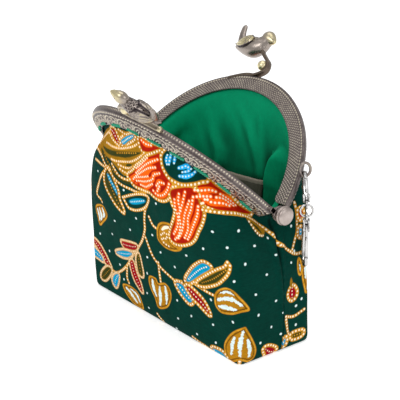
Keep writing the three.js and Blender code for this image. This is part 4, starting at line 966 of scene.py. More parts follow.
# The sides that the photo does not show carry the same sprays, pods and dots.
SPRAY, POD, POD_TALL, TRIO = PRINT_FRONT[42:46], PRINT_FRONT[46:47], PRINT_FRONT[47:49], PRINT_FRONT[32:36]
PRINT_LEFT = ([("vine", None, [(-50, 50), (-56, 46), (-61, 41), (-62, 33), (-60, 27), (-61, 20)]),
               ("vine", None, [(-62, 33), (-67, 29), (-70, 22)])]
              + placed(SPRAY, -62, 45, 70, True) + placed(POD, -60, 15, -80) + placed(TRIO, -68, 17, 20))
DOTS_LEFT = [(-55, 6), (-69, 7), (-53, 22), (-55, 34), (-69, 36), (-54, 58), (-70, 52), (-64, 8)]
PRINT_BACK = [m for m in moved(PRINT_FRONT[:100] + PRINT_LEFT, 16, 0, 0, True) if min(q[0] for q in m[2]) > -50] + PRINT_REAR
PRINT_BACK += placed(POD_TALL, -46, 30, 160)
DOTS_BACK = [(16 - u, v) for u, v in DOTS_FRONT + DOTS_LEFT if 16 - u > -47] + DOTS_REAR + [(-54, 20), (-57, 42), (-48, 48), (-50, 12), (-40, 44)]
PRINT_BASE = placed(SPRAY, -26, 1, 15) + placed(POD, 2, 6, 30) + placed(POD_TALL, 34, -3, -70) + placed(TRIO, 14, -9, 160) + [
    ("vine", None, [(-12, -2), (-6, 2), (-2, 4)]), ("vine", None, [(8, 3), (12, -3), (20, -6), (26, -4)])]
_p = np.concatenate([np.asarray(m[2], float) for m in PRINT_BASE])
DOTS_BASE = [(x + 2.4 * math.sin(x * 1.7 + y), y + 1.6 * math.cos(x - 1.3 * y)) for x in range(-45, 46, 9) for y in (-13, -4, 5, 14)]
DOTS_BASE = [q for q in DOTS_BASE if np.hypot(_p[:, 0] - q[0], _p[:, 1] - q[1]).min() > 4]

# ------------------------------------------------------------------ printed shell
RING = ring_surface(0.0, NT, STRIP, ROWS)
I_LEFT = 2 * (NT + STRIP - 1)          # column of the left seam
I_MID_F, I_MID_R = NT + STRIP - 1, I_LEFT + NT + STRIP - 1
NCOL = len(RING)


def cloth_relief(P, N):
    """Small folds of the printed cloth: gathers under the frame, a tuck along each side seam, soft waves."""
    cols = np.arange(NCOL)
    L = np.concatenate([np.zeros((NCOL, 1)), np.cumsum(np.linalg.norm(np.diff(P, axis=1), axis=2), 1)], 1)
    along = np.concatenate([[0], np.cumsum(np.linalg.norm(np.diff(P[:, 40], axis=0), axis=1))])[:, None]
    top = np.clip(L - 8.0, 0, None)
    gather = np.sin(2 * math.pi * along / 7.0) * 0.16 * np.exp(-top / 5.0) * smooth(0, 1.5, top)
    gather += 0.5 * fbm(along / 6.5 + 0 * L, L / 30.0, 3) * np.exp(-top / 16.0) * smooth(0, 3, top)
    wave = 1.1 * fbm(along / 26.0, L / 30.0, 11, 2) * smooth(4, 20, top) * smooth(0, 10, L[:, -1:] - L)
    wave += 0.22 * fbm(along / 5.0, L / 9.0, 17, 2) * smooth(4, 12, top)
    d = np.minimum(np.abs(cols - 0), np.abs(cols - NCOL))
    d = np.minimum(d, np.abs(cols - I_LEFT))[:, None] * 0.36
    pucker = 1 + 0.55 * np.sin(2 * math.pi * L / 4.2 + 1.3 * np.sin(L / 5))
    seam = -1.05 * np.exp(-(d / 0.75) ** 2) + 0.32 * pucker * np.exp(-((d - 1.9) / 1.2) ** 2)
    h = gather + wave + seam * smooth(1, 6, top) * smooth(0, 3, L[:, -1:] - L)
    h *= smooth(0, 2.5, L[:, -1:] - L)
    return P + N * h[..., None]


RING_N = grid_normals(RING)
SHELL = cloth_relief(RING, RING_N)


def panel_object(name, P, N, thick, mats, inside=False, step=4):
    """Thin closed wall: P is the fine shown face (columns, rows), the hidden face is coarser."""
    nc, nr = P.shape[:2]
    ci = np.unique(np.append(np.arange(0, nc, step), nc - 1))
    ri = np.unique(np.append(np.arange(0, nr, step), nr - 1))
    Q = (P - N * thick)[ci][:, ri]
    V = np.concatenate([P.reshape(-1, 3), Q.reshape(-1, 3)])
    quads = grid_quads(nc, nr, 0, flip=inside)
    off = nc * nr
    back = grid_quads(len(ci), len(ri), off, flip=not inside)
    fine = lambda i, j: i * nr + j
    rough = lambda a, b: off + a * len(ri) + b
    rim = []

    def stitch(fine_ids, rough_ids, at):
        for k in range(len(rough_ids) - 1):
            face = list(fine_ids[at[k]:at[k + 1] + 1]) + [rough_ids[k + 1], rough_ids[k]]
            rim.append(face if not inside else face[::-1])
    stitch([fine(i, 0) for i in range(nc)], [rough(a, 0) for a in range(len(ci))], ci)
    stitch([fine(nc - 1, j) for j in range(nr)], [rough(len(ci) - 1, b) for b in range(len(ri))], ri)
    stitch([fine(i, nr - 1) for i in range(nc)][::-1], [rough(a, len(ri) - 1) for a in range(len(ci))][::-1], (nc - 1 - ci)[::-1])
    stitch([fine(0, j) for j in range(nr)][::-1], [rough(0, b) for b in range(len(ri))][::-1], (nr - 1 - ri)[::-1])
    ob = build(name, V, np.concatenate([quads, back]), ngons=rim, mats=mats)
    return ob, (ci, ri)


def printed_panel(name, cols, motifs, dots):
    P, N, flat = SHELL[cols], RING_N[cols], flatten(RING[cols])
    ob, (ci, ri) = panel_object(name, P, N, 1.0, [M_PRINT], step=8)
    uv = flat.reshape(-1, 2)
    f = print_fields(uv, motifs, dots)
    # painted shade: the print is darkened in a narrow band along each side seam, for the shade in the seam's crease
    from_seam = np.minimum(np.arange(len(cols)), np.arange(len(cols))[::-1]) * 0.36
    f["fill"] *= np.repeat(1 - 0.72 * np.exp(-(from_seam / 0.55) ** 2), flat.shape[1])[:, None]
    hidden = flat[ci][:, ri].reshape(-1, 2)
    k = len(hidden)
    attribute(ob, "fill", np.concatenate([f["fill"], np.tile(np.array(GROUND), (k, 1))]))
    for key in FIELDS:
        attribute(ob, key, np.concatenate([f[key], np.full(k, 0.0 if key == "tone" else 5.0)]))
    uv_layer(ob, "Weave", np.concatenate([uv, hidden]) / 100)
    return ob


FRONT_COLS = np.arange(0, I_LEFT + 1)
REAR_COLS = np.concatenate([np.arange(I_LEFT, NCOL), [0]])
front_panel = printed_panel("front_panel", FRONT_COLS, PRINT_LEFT + PRINT_FRONT, DOTS_FRONT + DOTS_LEFT)
back_panel = printed_panel("back_panel", REAR_COLS, PRINT_BACK, DOTS_BACK)
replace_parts(front_panel, "outer_shell")


def base_panel():
    """Flat bottom of the same cloth, inside the turned edge."""
    edge = SHELL[:, -1].copy()
    edge[:, 2] = 0
    edge = edge[::4]
    m = 84
    P = np.stack([edge * [s, s, 1] for s in np.linspace(1, 0.02, m)], 1)
    n = len(edge)
    lower = P.reshape(-1, 3)
    upper = edge * [0.985, 0.96, 1] + [0, 0, 1.0]
    V = np.concatenate([lower, upper, [[0, 0, 0], [0, 0, 1.0]]])
    quads = grid_quads(n, m, 0, cyclic=True, flip=True)
    tris, q2 = [], []
    base_up = n * m
    for i in range(n):
        k = (i + 1) % n
        tris.append([i * m + m - 1, k * m + m - 1, base_up + n])
        q2.append([i * m, k * m, base_up + k, base_up + i])
        tris.append([base_up + i, base_up + k, base_up + n + 1])
    ob = build("base_panel", V, np.concatenate([quads, np.array(q2)]), np.array(tris), mats=[M_PRINT])
    f = print_fields(V[:, :2] * [1, -1], PRINT_BASE, DOTS_BASE)
    attribute(ob, "fill", f["fill"])
    for key in FIELDS:
        attribute(ob, key, f[key])
    uv_layer(ob, "Weave", V[:, :2] / 100)
    return ob


base_panel()

# ------------------------------------------------------------------ lining and pocket
L_NT, L_STRIP, L_ROWS = 110, 6, 104
LINING = ring_surface(2.5, L_NT, L_STRIP, L_ROWS, 0.8, 0.5)
LINING_N = grid_normals(LINING)
CREASE = [(22.2, 75), (20.4, 73), (17.6, 69.3), (16, 64.4), (15.6, 60), (13, 56), (10.5, 50), (9, 42)]
FOLDS = [([(-26.6, 76), (-25.4, 71.1), (-23.7, 67.4), (-20.9, 63), (-19.9, 58), (-20.5, 45)], 3.0, 3.6),
         ([(-6.9, 81), (-3, 76.8), (1.5, 71.3), (5.3, 65.4), (7.3, 60), (7, 48)], 2.8, 3.2),
         ([(4.3, 82.2), (6.5, 74.6), (9.8, 63.9), (10.5, 56)], 1.4, 2.2),
         ([(-40, 66), (-37, 58), (-34, 46), (-33, 34)], 2.4, 3.4)]


def lining_folds(P, N):
    """Soft hanging folds of the lining and the deep crease beside the gusset, all standing inwards, with painted shade:
    darker deeper in the purse (less so towards the gusset side) and in the hollows beside folds, a little lighter on
    fold ridges.
    """
    L = np.concatenate([np.zeros((len(P), 1)), np.cumsum(np.linalg.norm(np.diff(P, axis=1), axis=2), 1)], 1)
    free = smooth(3, 12, L) * smooth(2, 12, L[:, -1:] - L)
    rear = smooth(4, 12, P[..., 1])

    def side(points):
        C = track(np.array(points, float), False, 1.0)
        x, z = C[::-1, 0], C[::-1, 1]
        slope = np.gradient(x, z)
        far = np.clip(P[..., 2] - z[-1], 0, None) * slope[-4] + np.clip(P[..., 2] - z[0], None, 0) * slope[3]
        d = (P[..., 0] - np.interp(P[..., 2], z, x) - far) / np.sqrt(1 + np.interp(P[..., 2], z, slope) ** 2)
        return d, smooth(0, 20, np.minimum(P[..., 2] - z[0] + 6, z[-1] + 10 - P[..., 2]))
    h = np.zeros(P.shape[:2])
    for points, high, wide in FOLDS:
        d, on = side(points)
        h += 0.62 * high * np.exp(-((d - 0.9 * wide) / wide) ** 2) * smooth(-2.6, 2.4, d) * on * rear
        h += 0.34 * high * np.exp(-((d + 1.4 * wide) / (1.3 * wide)) ** 2) * on * rear
    d, on = side(CREASE)
    h += 4.6 * smooth(-1.7, 2.0, d) * np.exp(-np.clip(d, 0, None) / 6.5) * smooth(0, 9, 78 - P[..., 2]) * smooth(30, 46, P[..., 2]) * rear
    across = np.concatenate([[0], np.cumsum(np.linalg.norm(np.diff(P[:, 30], axis=0), axis=1))])[:, None]
    h += 1.5 * np.clip(fbm(across / 13.0 + 0 * L, L / 46.0, 23, 2) + 0.15, 0, None)
    h += 0.35 * np.clip(fbm(across / 4.0, L / 14.0, 29, 2) + 0.1, 0, None)
    h *= free * (1 - 0.94 * smooth(4.5, 0.6, np.abs(P[..., 0]) - 13.2) * smooth(60.5, 56.6, P[..., 2]) * rear)     # flat behind the pocket
    around = h.copy()
    for axis, sigma in ((0, 9), (1, 5)):
        k = np.exp(-0.5 * (np.arange(-3 * sigma, 3 * sigma + 1) / sigma) ** 2)
        pad = [(0, 0), (0, 0)]
        pad[axis] = (3 * sigma, 3 * sigma)
        around = np.apply_along_axis(np.convolve, axis, np.pad(around, pad, mode="wrap" if axis == 0 else "edge"), k / k.sum(), "valid")
    # painted shade: darker with depth below the frame, less so at the gusset side, darker where the lining lies below
    # its blurred surroundings, a little lighter on ridges
    depth_shade = 0.66 * smooth(10, 44, L) * (1 - 0.75 * smooth(30, 46, P[..., 0]))
    painted_shade = np.clip(depth_shade + 0.55 * np.clip(around - h, 0, 1.4) - 0.14 * np.clip(h - around, 0, 1.5), 0, 0.92)
    return P - N * h[..., None], np.stack([np.broadcast_to(across, L.shape), L], -1) / 100, painted_shade


LINING_F, LINING_UV, LINING_SHADE = lining_folds(LINING, LINING_N)
_P, _N = np.concatenate([LINING_F, LINING_F[:1]]), np.concatenate([LINING_N, LINING_N[:1]])
_uv = np.concatenate([LINING_UV, LINING_UV[:1] + [[3.6, 0]]])
lining, (_ci, _ri) = panel_object("lining_wall", _P, -_N, 0.5, [M_LINING], inside=True)
uv_layer(lining, "Weave", np.concatenate([_uv.reshape(-1, 2), _uv[_ci][:, _ri].reshape(-1, 2)]))
_h = np.concatenate([LINING_SHADE, LINING_SHADE[:1]])
# painted shade of the lining wall, one value per vertex
attribute(lining, "painted_shade", np.concatenate([_h.ravel(), _h[_ci][:, _ri].ravel()]))
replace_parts(lining, "lining")


def lining_floor():
    edge = LINING_F[::4, -1]
    edge = edge[np.argsort(np.arctan2(edge[:, 1], edge[:, 0]))]      # round the middle once, so that no ring folds over
    if np.arctan2(LINING_F[9, -1, 1], LINING_F[9, -1, 0]) < np.arctan2(LINING_F[5, -1, 1], LINING_F[5, -1, 0]):
        edge = edge[::-1]
    n, m = len(edge), 24
    z = edge[:, 2].mean()
    top = np.stack([np.column_stack([edge[:, :2] * f, np.full(n, z) + 0.25 * fbm(edge[:, 0] * f / 9, edge[:, 1] * f / 9, 31)]) for f in np.linspace(1.0, 0.03, m)], 1)
    low = np.column_stack([edge[:, :2] * 0.99, np.full(n, z - 0.6)])
    V = np.concatenate([top.reshape(-1, 3), low, [[0, 0, z], [0, 0, z - 0.6]]])
    quads, tris, rim = grid_quads(n, m, 0, cyclic=True), [], []
    for i in range(n):
        k = (i + 1) % n
        tris += [[k * m + m - 1, i * m + m - 1, n * m + n], [n * m + i, n * m + k, n * m + n + 1]]
        rim.append([k * m, i * m, n * m + i, n * m + k])
    ob = build("lining_floor", V, np.concatenate([quads, np.array(rim)]), np.array(tris), mats=[M_LINING])
    uv_layer(ob, "Weave", V[:, :2] / 100)
    # painted shade: the lining floor is darkened evenly, as the deepest part inside the purse
    attribute(ob, "painted_shade", np.full(len(V), 0.6))


lining_floor()


def rear_lining_y(x, z):
    """Depth of the rear lining at places (x, z), before its folds."""
    cols = LINING[2 * (L_NT + L_STRIP - 1) + 8:-8]
    out = np.empty(x.shape)
    for j in range(z.shape[1]):
        zj = z[:, j].mean()
        k = np.array([[np.interp(zj, c[::-1, 2], c[::-1, q]) for q in (0, 1)] for c in cols[:, 4:-6]])
        o = np.argsort(k[:, 0])
        out[:, j] = np.interp(x[:, j], k[o, 0], k[o, 1])
    return out


def pocket():
    """Patch pocket on the rear lining, with a bound top edge and turned sides."""
    nx, nz = 66, 54
    fx = np.linspace(-13.2, 13.2, nx)
    X, Zf = np.meshgrid(fx, np.linspace(0, 1, nz), indexing="ij")
    Z = 56.6 + 0.09 * X * (1 - Zf) - Zf * 33.0
    Y = rear_lining_y(X, Z)
    bulge = 1.1 * (1 - (X / 13.2) ** 2) * np.sin(math.pi * np.clip(Zf, 0, 1)) ** 0.6 * (1 - 0.3 * Zf) + 0.5 * smooth(0.2, 0, Zf) * (1 - (X / 13.2) ** 4)
    wave = 0.9 * fbm(X / 9, Z / 12, 41, 2) * (1 - (X / 13.2) ** 6)
    edge = np.minimum(13.2 - np.abs(X), 33 * (1 - Zf))
    seam = -0.28 * np.exp(-((edge - 1.4) / 0.5) ** 2)
    Yf = Y - 0.55 - 0.8 * smooth(0, 0.8, edge) - np.clip(bulge + wave, 0, None) - seam
    front = np.stack([X, Yf, Z], -1)
    back = np.stack([X, Y - 0.35, Z], -1)
    ob, (ci, ri) = panel_object("pocket_patch", front, front - back, 1.0, [M_POCKET], inside=True, step=6)
    uv = np.stack([X, Z], -1) / 100
    uv_layer(ob, "Weave", np.concatenate([uv.reshape(-1, 2), uv[ci][:, ri].reshape(-1, 2)]))
    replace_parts(ob, "inner_pocket")
    top = front[:, 0] + [0, 0.35, -0.25]
    V, F = sweep(catmull(top, 90), rounded_rect(1.05, 0.7, 0.5, 5), up=(0, 0, 1))
    ob = build("pocket_binding", V, ngons=F, mats=[M_BINDING])
    uv_layer(ob, "Weave", V[:, [0, 2]] / 100)


pocket()

# ------------------------------------------------------------------ frame halves
def half_world(front):
    """Local (x, u, n) of a frame half to world millimetres."""
    a = OPEN_FRONT if front else OPEN_REAR
    c, s, sign = math.cos(a), math.sin(a), (-1 if front else 1)

    def put(V):
        V = np.asarray(V, float)
        return np.stack([sign * V[..., 0], sign * (V[..., 1] * s + V[..., 2] * c), HINGE_Z + V[..., 1] * c - V[..., 2] * s], -1)
    return put


ARCH_T0 = math.asin(4.2 / ARCH_R)
N_ARCH = 660
MID_R = ARCH_R - 3.5
TILE = (math.pi - 2 * ARCH_T0) * MID_R / 13
SCROLLS = [  # one repeat of the stamped ornament: along the arch, across the plate
    [(0.2, 6.0), (0.6, 4.2), (2.0, 2.7), (4.2, 2.3), (6.2, 3.0), (7.1, 4.4), (6.5, 5.6), (5.2, 5.6), (4.7, 4.7), (5.4, 4.2)],
    [(6.6, 2.4), (8.4, 2.2), (10.2, 2.9), (11.0, 4.2), (10.4, 5.3), (9.3, 5.3), (8.9, 4.5), (9.5, 4.0)],
    [(1.3, 6.0), (1.9, 4.6), (3.2, 3.7)], [(2.5, 6.1), (2.9, 5.1), (3.7, 4.5)], [(7.9, 6.1), (8.1, 5.2), (7.9, 4.3)],
    [(0.2, 2.3), (1.0, 2.5), (1.4, 3.0)]]
BOSSES = [(5.6, 4.9, 0.3), (9.6, 4.7, 0.3), (7.6, 3.2, 0.36), (0.3, 3.2, 0.36), (4.2, 3.3, 0.28)]


def stamped(s, D):
    """Height of the stamped ornament on the outer plate, and how bright its worn metal is."""
    a = np.mod(s, TILE)
    d = np.full(a.shape, 9.0)
    for line in SCROLLS:
        C = track(np.array(line) * [TILE / 11.17, 1], False, 0.4)
        for shift in (-TILE, 0, TILE):
            d = np.minimum(d, near(np.stack([a.ravel() + shift, D.ravel()], 1), C)[0].reshape(a.shape))
    boss = np.full(a.shape, 9.0)
    for x, y, r in BOSSES:
        for shift in (-TILE, 0, TILE):
            boss = np.minimum(boss, np.hypot(a + shift - x, D - y) - r)
    ridge = np.maximum(smooth(0.56, 0.1, d), smooth(0.24, -0.2, boss))
    rope = np.sqrt(np.clip(1 - ((D - 0.72) / 0.64) ** 2, 0, 1)) * (0.05 + 0.95 * np.abs(np.cos(math.pi * (s + 0.6 * (D - 0.72)) / 1.5)) ** 0.8)
    groove = smooth(0.3, 0.08, np.abs(D - 1.5))
    border = smooth(0.28, 0.06, np.abs(D - 6.55))
    h = 0.36 * ridge + 0.46 * rope - 0.16 * groove + 0.16 * border
    return h, 0.16 + 0.66 * ridge + 0.72 * rope - 0.16 * groove + 0.25 * border


def knurl(s, d):
    """Raised diagonal mesh on the inner flange, 0 to 1, with a bead line at its outer edge."""
    a, b = np.abs(np.sin(math.pi * (s + 0.9 * d) / 1.38)), np.abs(np.sin(math.pi * (s - 0.9 * d) / 1.38))
    mesh = smooth(0.12, 0.7, np.minimum(a, b))
    bead = np.sqrt(np.clip(1 - ((d - 1.15) / 0.55) ** 2, 0, 1)) * (0.12 + 0.88 * np.abs(np.cos(math.pi * s / 1.35)) ** 0.8)
    return np.where(d < 1.8, bead, mesh), np.where(d < 1.8, 0.08 + 0.84 * bead, 0.1 + 0.58 * mesh)


def arch_mesh():
    """The stamped channel of one half in local millimetres: vertices, quads, caps, brightness."""
    t = np.linspace(ARCH_T0, math.pi - ARCH_T0, N_ARCH)
    e = np.minimum(t - t[0], t[-1] - t) * MID_R
    c = 2.6
    f = 1 - (2.2 / 7) * (1 - np.sqrt(np.clip(1 - (np.clip(c - e, 0, c) / c) ** 2, 0, 1)))
    s = (t - t[0]) * MID_R
    rows = []                                     # d, n, brightness for each row of the section

    def plain(pts, bright):
        for d, n in pts:
            rows.append((d * f, np.full(N_ARCH, n), np.full(N_ARCH, bright)))
    ds = np.linspace(7.0, 0.55, 38)
    S, Dd = np.meshgrid(s, ds, indexing="ij")
    k, kb = knurl(S, Dd)
    for j, d in enumerate(ds):
        edge = smooth(0, 0.5, min(7.0 - d, d - 0.55))
        rows.append((d * f, 0.15 + 0.2 * (1 - k[:, j]) * edge, kb[:, j] * (0.5 + 0.5 * edge) + 0.06))
    worn = smooth(52, 88, np.degrees(t))           # the beaded inner edge runs out smooth at one end
    notch = np.abs(np.cos(math.pi * s / 1.2)) ** 1.5 * worn
    for d, n, out in ((0.36, 0.2, 0.0), (0.14, 0.36, 0.0), (0.04, 0.62, 0.0), (0.0, 0.88, 0.06), (0.0, 1.1, 0.24), (0.0, 1.35, 0.3), (0.02, 1.6, 0.24), (0.06, 1.85, 0.06), (0.08, 2.1, 0.0)):
        rows.append(((d - out * notch) * f, np.full(N_ARCH, n), 0.26 + 0.72 * notch * out / 0.3))
    for d, n in ((0.12, 2.3), (0.16, 2.5), (0.22, 2.68)):
        rows.append(((d + 0.1 * worn) * f, np.full(N_ARCH, n), 0.26 - 0.04 * worn))
    Ds = np.linspace(0.0, 7.0, 42)
    S, DD = np.meshgrid(s, Ds, indexing="ij")
    h, hb = stamped(S, DD)
    for j, D in enumerate(Ds):
        w = smooth(0, 0.35, min(D, 7.0 - D)) * smooth(0, 0.8, e)
        d, n = 0.35 + D * 0.9294, 2.8 + D * 0.369
        rows.append(((d - 0.369 * h[:, j] * w) * f, n + 0.929 * h[:, j] * w, hb[:, j]))
    plain([(7.05, 5.2), (7.12, 4.95), (7.1, 4.7)], 0.5)
    plain([(5.0, 3.9), (3.0, 3.12), (1.0, 2.35), (0.9, 1.7), (0.9, 1.0), (3.0, 0.95), (5.0, 0.92)], 0.12)
    plain([(6.9, 0.9), (7.05, 0.7), (7.1, 0.4)], 0.4)
    m = len(rows)
    V, A, UV = np.zeros((N_ARCH, m, 3)), np.zeros((N_ARCH, m)), np.zeros((N_ARCH, m, 2))
    for j, (d, n, b) in enumerate(rows):
        r = ARCH_R - d
        V[:, j] = np.stack([r * np.cos(t), r * np.sin(t), n], 1)
        A[:, j] = b
        UV[:, j] = np.stack([s, d], 1)
    i, j = np.meshgrid(np.arange(N_ARCH - 1), np.arange(m), indexing="ij")
    l = (j + 1) % m
    quads = np.stack([i * m + j, i * m + l, (i + 1) * m + l, (i + 1) * m + j], -1).reshape(-1, 4)
    caps = [list(range(m))[::-1], [(N_ARCH - 1) * m + q for q in range(m)]]
    return V.reshape(-1, 3), quads, caps, A.ravel()


def outward(V, faces):
    """Faces turned so that the closed form's volume is positive."""
    vol = 0.0
    for f in faces:
        a = V[f[0]]
        for k in range(1, len(f) - 1):
            vol += np.dot(a, np.cross(V[f[k]], V[f[k + 1]]))
    return faces if vol > 0 else [list(f)[::-1] for f in faces]


def prism(poly, lo, hi, bevel=0.15):
    """Extruded outline (a, b) from c=lo to c=hi with small bevels."""
    P = np.asarray(poly, float)
    I = grown(np.concatenate([P, P[:1]]), -bevel)[:-1]
    rings = [(I, lo), (P, lo + bevel), (P, hi - bevel), (I, hi)]
    V = np.concatenate([np.column_stack([R, np.full(len(R), c)]) for R, c in rings])
    m = len(P)
    F = [[r * m + k, r * m + (k + 1) % m, (r + 1) * m + (k + 1) % m, (r + 1) * m + k] for r in range(3) for k in range(m)]
    F += [list(range(m))[::-1], [3 * m + k for k in range(m)]]
    return V, outward(V, F)


def tube(path, r, m=14, scale=None, closed=False, up=None, section=None):
    V, F = sweep(path, circle(r, m) if section is None else section, closed=closed, up=up, scale=scale)
    return V, outward(V, F)


def turned(V, centre, deg):
    """Points turned in the plane of a half about (x, u)."""
    c, s = math.cos(math.radians(deg)), math.sin(math.radians(deg))
    d = V[:, :2] - centre
    return np.column_stack([centre[0] + c * d[:, 0] - s * d[:, 1], centre[1] + s * d[:, 0] + c * d[:, 1], V[:, 2]])


def ear_solids(parts):
    """The two pivot ears of a half: an inner one at its right end, an outer one at its left."""
    a0, a1 = math.asin(2.35 / 3.2), math.asin(0.35 / 3.2) + 2 * math.pi
    arc = np.linspace(a0, a1, 44)
    outline = [(6.6, 0.35), (6.6, 2.35)] + [(3.2 * math.cos(q), 3.2 * math.sin(q)) for q in arc]
    for sign, x0 in ((1, 51.15), (-1, 52.45)):
        V, F = prism(outline, x0, x0 + 0.85, 0.12)          # (u, n, x)
        V = np.column_stack([sign * V[:, 2], V[:, 0], V[:, 1]])
        parts.add(V, outward(V, F), 0.45)
    V, F = prism([(4.0, 0.35), (6.6, 0.35), (6.6, 2.35), (4.0, 2.35)], 51.15, 53.3, 0.12)
    V = np.column_stack([-V[:, 2], V[:, 0], V[:, 1]])
    parts.add(V, outward(V, F), 0.45)


CURL_ROOT = np.array([-4.5, 53.0])
SPINE = np.array([[-27.6, 62.8, 0.35], [-26.0, 62.9, 1.4], [-23.4, 63.5, 2.9], [-19.8, 64.2, 4.3], [-16.2, 64.9, 4.9],
                  [-13.6, 66.4, 4.3], [-12.3, 68.4, 3.5], [-11.7, 70.2, 3.1]])


def bird_clasp(strip, bird, turn, drop, out, bright, beak, taper, neck, slim, fold, start, broad, pale, sunk, dim):
    """Ribbon soldered on the rim, its curl with the ball, and the bird that sits on it."""
    c, s = math.cos(math.radians(turn)), math.sin(math.radians(turn))

    def put(V):
        V = np.asarray(V, float)
        d = V[:, :2] - CURL_ROOT
        far = np.clip(d[:, 1] / 8, 0, 1)
        return np.column_stack([CURL_ROOT[0] + c * d[:, 0] - s * d[:, 1] - far * out,
                                CURL_ROOT[1] + s * d[:, 0] + c * d[:, 1] - far * drop, V[:, 2]])
    x = np.linspace(start, -6.5, 8)
    run = np.column_stack([x, np.sqrt((ARCH_R + 0.42 - sunk * smooth(-9, start, x)) ** 2 - x * x), np.full(8, 1.35)])
    curl = put(np.array([(-3.8, 53.8, 1.35), (-1.9, 56.2, 1.35), (-3.0, 59.5, 1.35), (-6.6, 61.7, 1.35), (-9.6, 63.5, 1.3), (-12.2, 66.0, 1.2)]))
    path = catmull(np.concatenate([run, curl]), 120)
    width = 1.0 - 0.18 * smooth(0.0, 0.03, np.linspace(1, 0, 120) - 0.97)
    V, F = tube(path, 1, section=rounded_rect(broad, 0.74, 0.4, 4), up=(0, 0, 1), scale=width)
    # bright paints light and shade: the same ribbon is set pale on the front half and dark on the rear half
    strip.add(V, F, bright)
    if not sunk:                                            # the free end is rolled up
        end = np.array([start, math.sqrt((ARCH_R + 1.15) ** 2 - start * start)])
        V, F = tube(np.array([(*end, 1.35 - 0.5 * broad - 0.5), (*end, 1.35), (*end, 1.35 + 0.5 * broad + 0.5)]), 0.9, 20)
        strip.add(V, F, 0.8)
    V, F = ball((-5.2, 57.6, 1.0), 2.3)
    strip.add(put(V), outward(V, F), 0.84)
    V, F = tube(np.array([(-4.6, 57.6, 1.0), (-3.4, 57.8, 1.2), (-2.2, 58.0, 1.35)]), 0.85, 10)
    strip.add(put(V), F, 0.6)

    # body: round stations along the back, scales on its upper side
    n_st, m = 84, 48
    S = catmull(SPINE, n_st)
    T = np.gradient(S[:, :2], axis=0)
    T /= np.linalg.norm(T, axis=1, keepdims=True)
    N = np.stack([-T[:, 1], T[:, 0]], 1)                    # towards the bird's back
    a = np.arange(m) / m * 2 * math.pi
    run = np.concatenate([[0], np.cumsum(np.linalg.norm(np.diff(S[:, :2], axis=0), axis=1))])
    row = run[:, None] / 1.55 + 0 * a[None]
    cell = (a[None] / (2 * math.pi) * 12) % 1.0 - 0.5
    other = (a[None] / (2 * math.pi) * 12 + 0.5) % 1.0 - 0.5
    lift = np.maximum(1 - ((row * 0.5 + 1.7 * cell ** 2) % 1.0), 0.96 - ((row * 0.5 + 0.5 + 1.7 * other ** 2) % 1.0))
    back = smooth(-0.35, 0.35, np.cos(a))[None] * smooth(0.5, 2.5, run)[:, None] * smooth(0, 2.5, run[-1] - run)[:, None]
    R = S[:, 2:3] * slim * (1 + 0 * a[None]) + 0.24 * (lift - 0.7) * back
    V = np.zeros((n_st, m, 3))
    V[..., 0] = S[:, :1] + N[:, :1] * R * np.cos(a)
    V[..., 1] = S[:, 1:2] + N[:, 1:] * R * np.cos(a)
    V[..., 2] = 1.2 + 0.86 * R * np.sin(a)
    F = [[i * m + j, i * m + (j + 1) % m, (i + 1) * m + (j + 1) % m, (i + 1) * m + j] for i in range(n_st - 1) for j in range(m)]
    F += [list(range(m))[::-1], [(n_st - 1) * m + j for j in range(m)]]
    V = V.reshape(-1, 3)
    # dim paints shade: it darkens the front bird's body, a shaded copy of the same casting
    bird.add(put(V), outward(V, F), (0.5 - 0.5 * dim + (0.6 + dim) * (lift - 0.75) * back).ravel())
    V, F = ball((-12.2, 65.9, 1.2), (2.9 * slim, 3.6 * slim, 2.8 * slim), 32, 22)            # breast, over the end of the stem
    bird.add(put(V), outward(V, F), 0.42)
    # head, beak, eyes and nostrils
    head = np.array([-11.4, 70.6]) + neck
    V, F = ball((0, 0, 0), (4.9, 0.4 + 2.95 * slim, 0.4 + 2.6 * slim), 44, 30)
    f = np.clip(V[:, 0] / 4.9, -1, 1)
    V[:, 1:] *= (1 - taper * smooth(-0.1, 1.0, f))[:, None]
    V[:, 0] = np.where(V[:, 0] < 0, V[:, 0] * 0.72, V[:, 0])
    V = turned(V + [head[0], head[1], 1.2], head, beak)
    bird.add(put(V), outward(V, F), pale + 0.14 * f)
    for side in (-1, 1):
        for at, up, r, depth in ((1.3, 1.0 * slim, 0.36, (2.42 - 0.5 * taper) * (0.13 + 0.87 * slim)), (3.7, 0.3, 0.24, (1.85 - 1.9 * taper) * (0.1 + 0.87 * slim))):
            V, F = ball((0, 0, 0), (r, r, 0.24), 14, 10)
            V = turned(V + [head[0] + at, head[1] + up, 1.2 + side * depth], head, beak)
            bird.add(put(V), outward(V, F), -0.4)
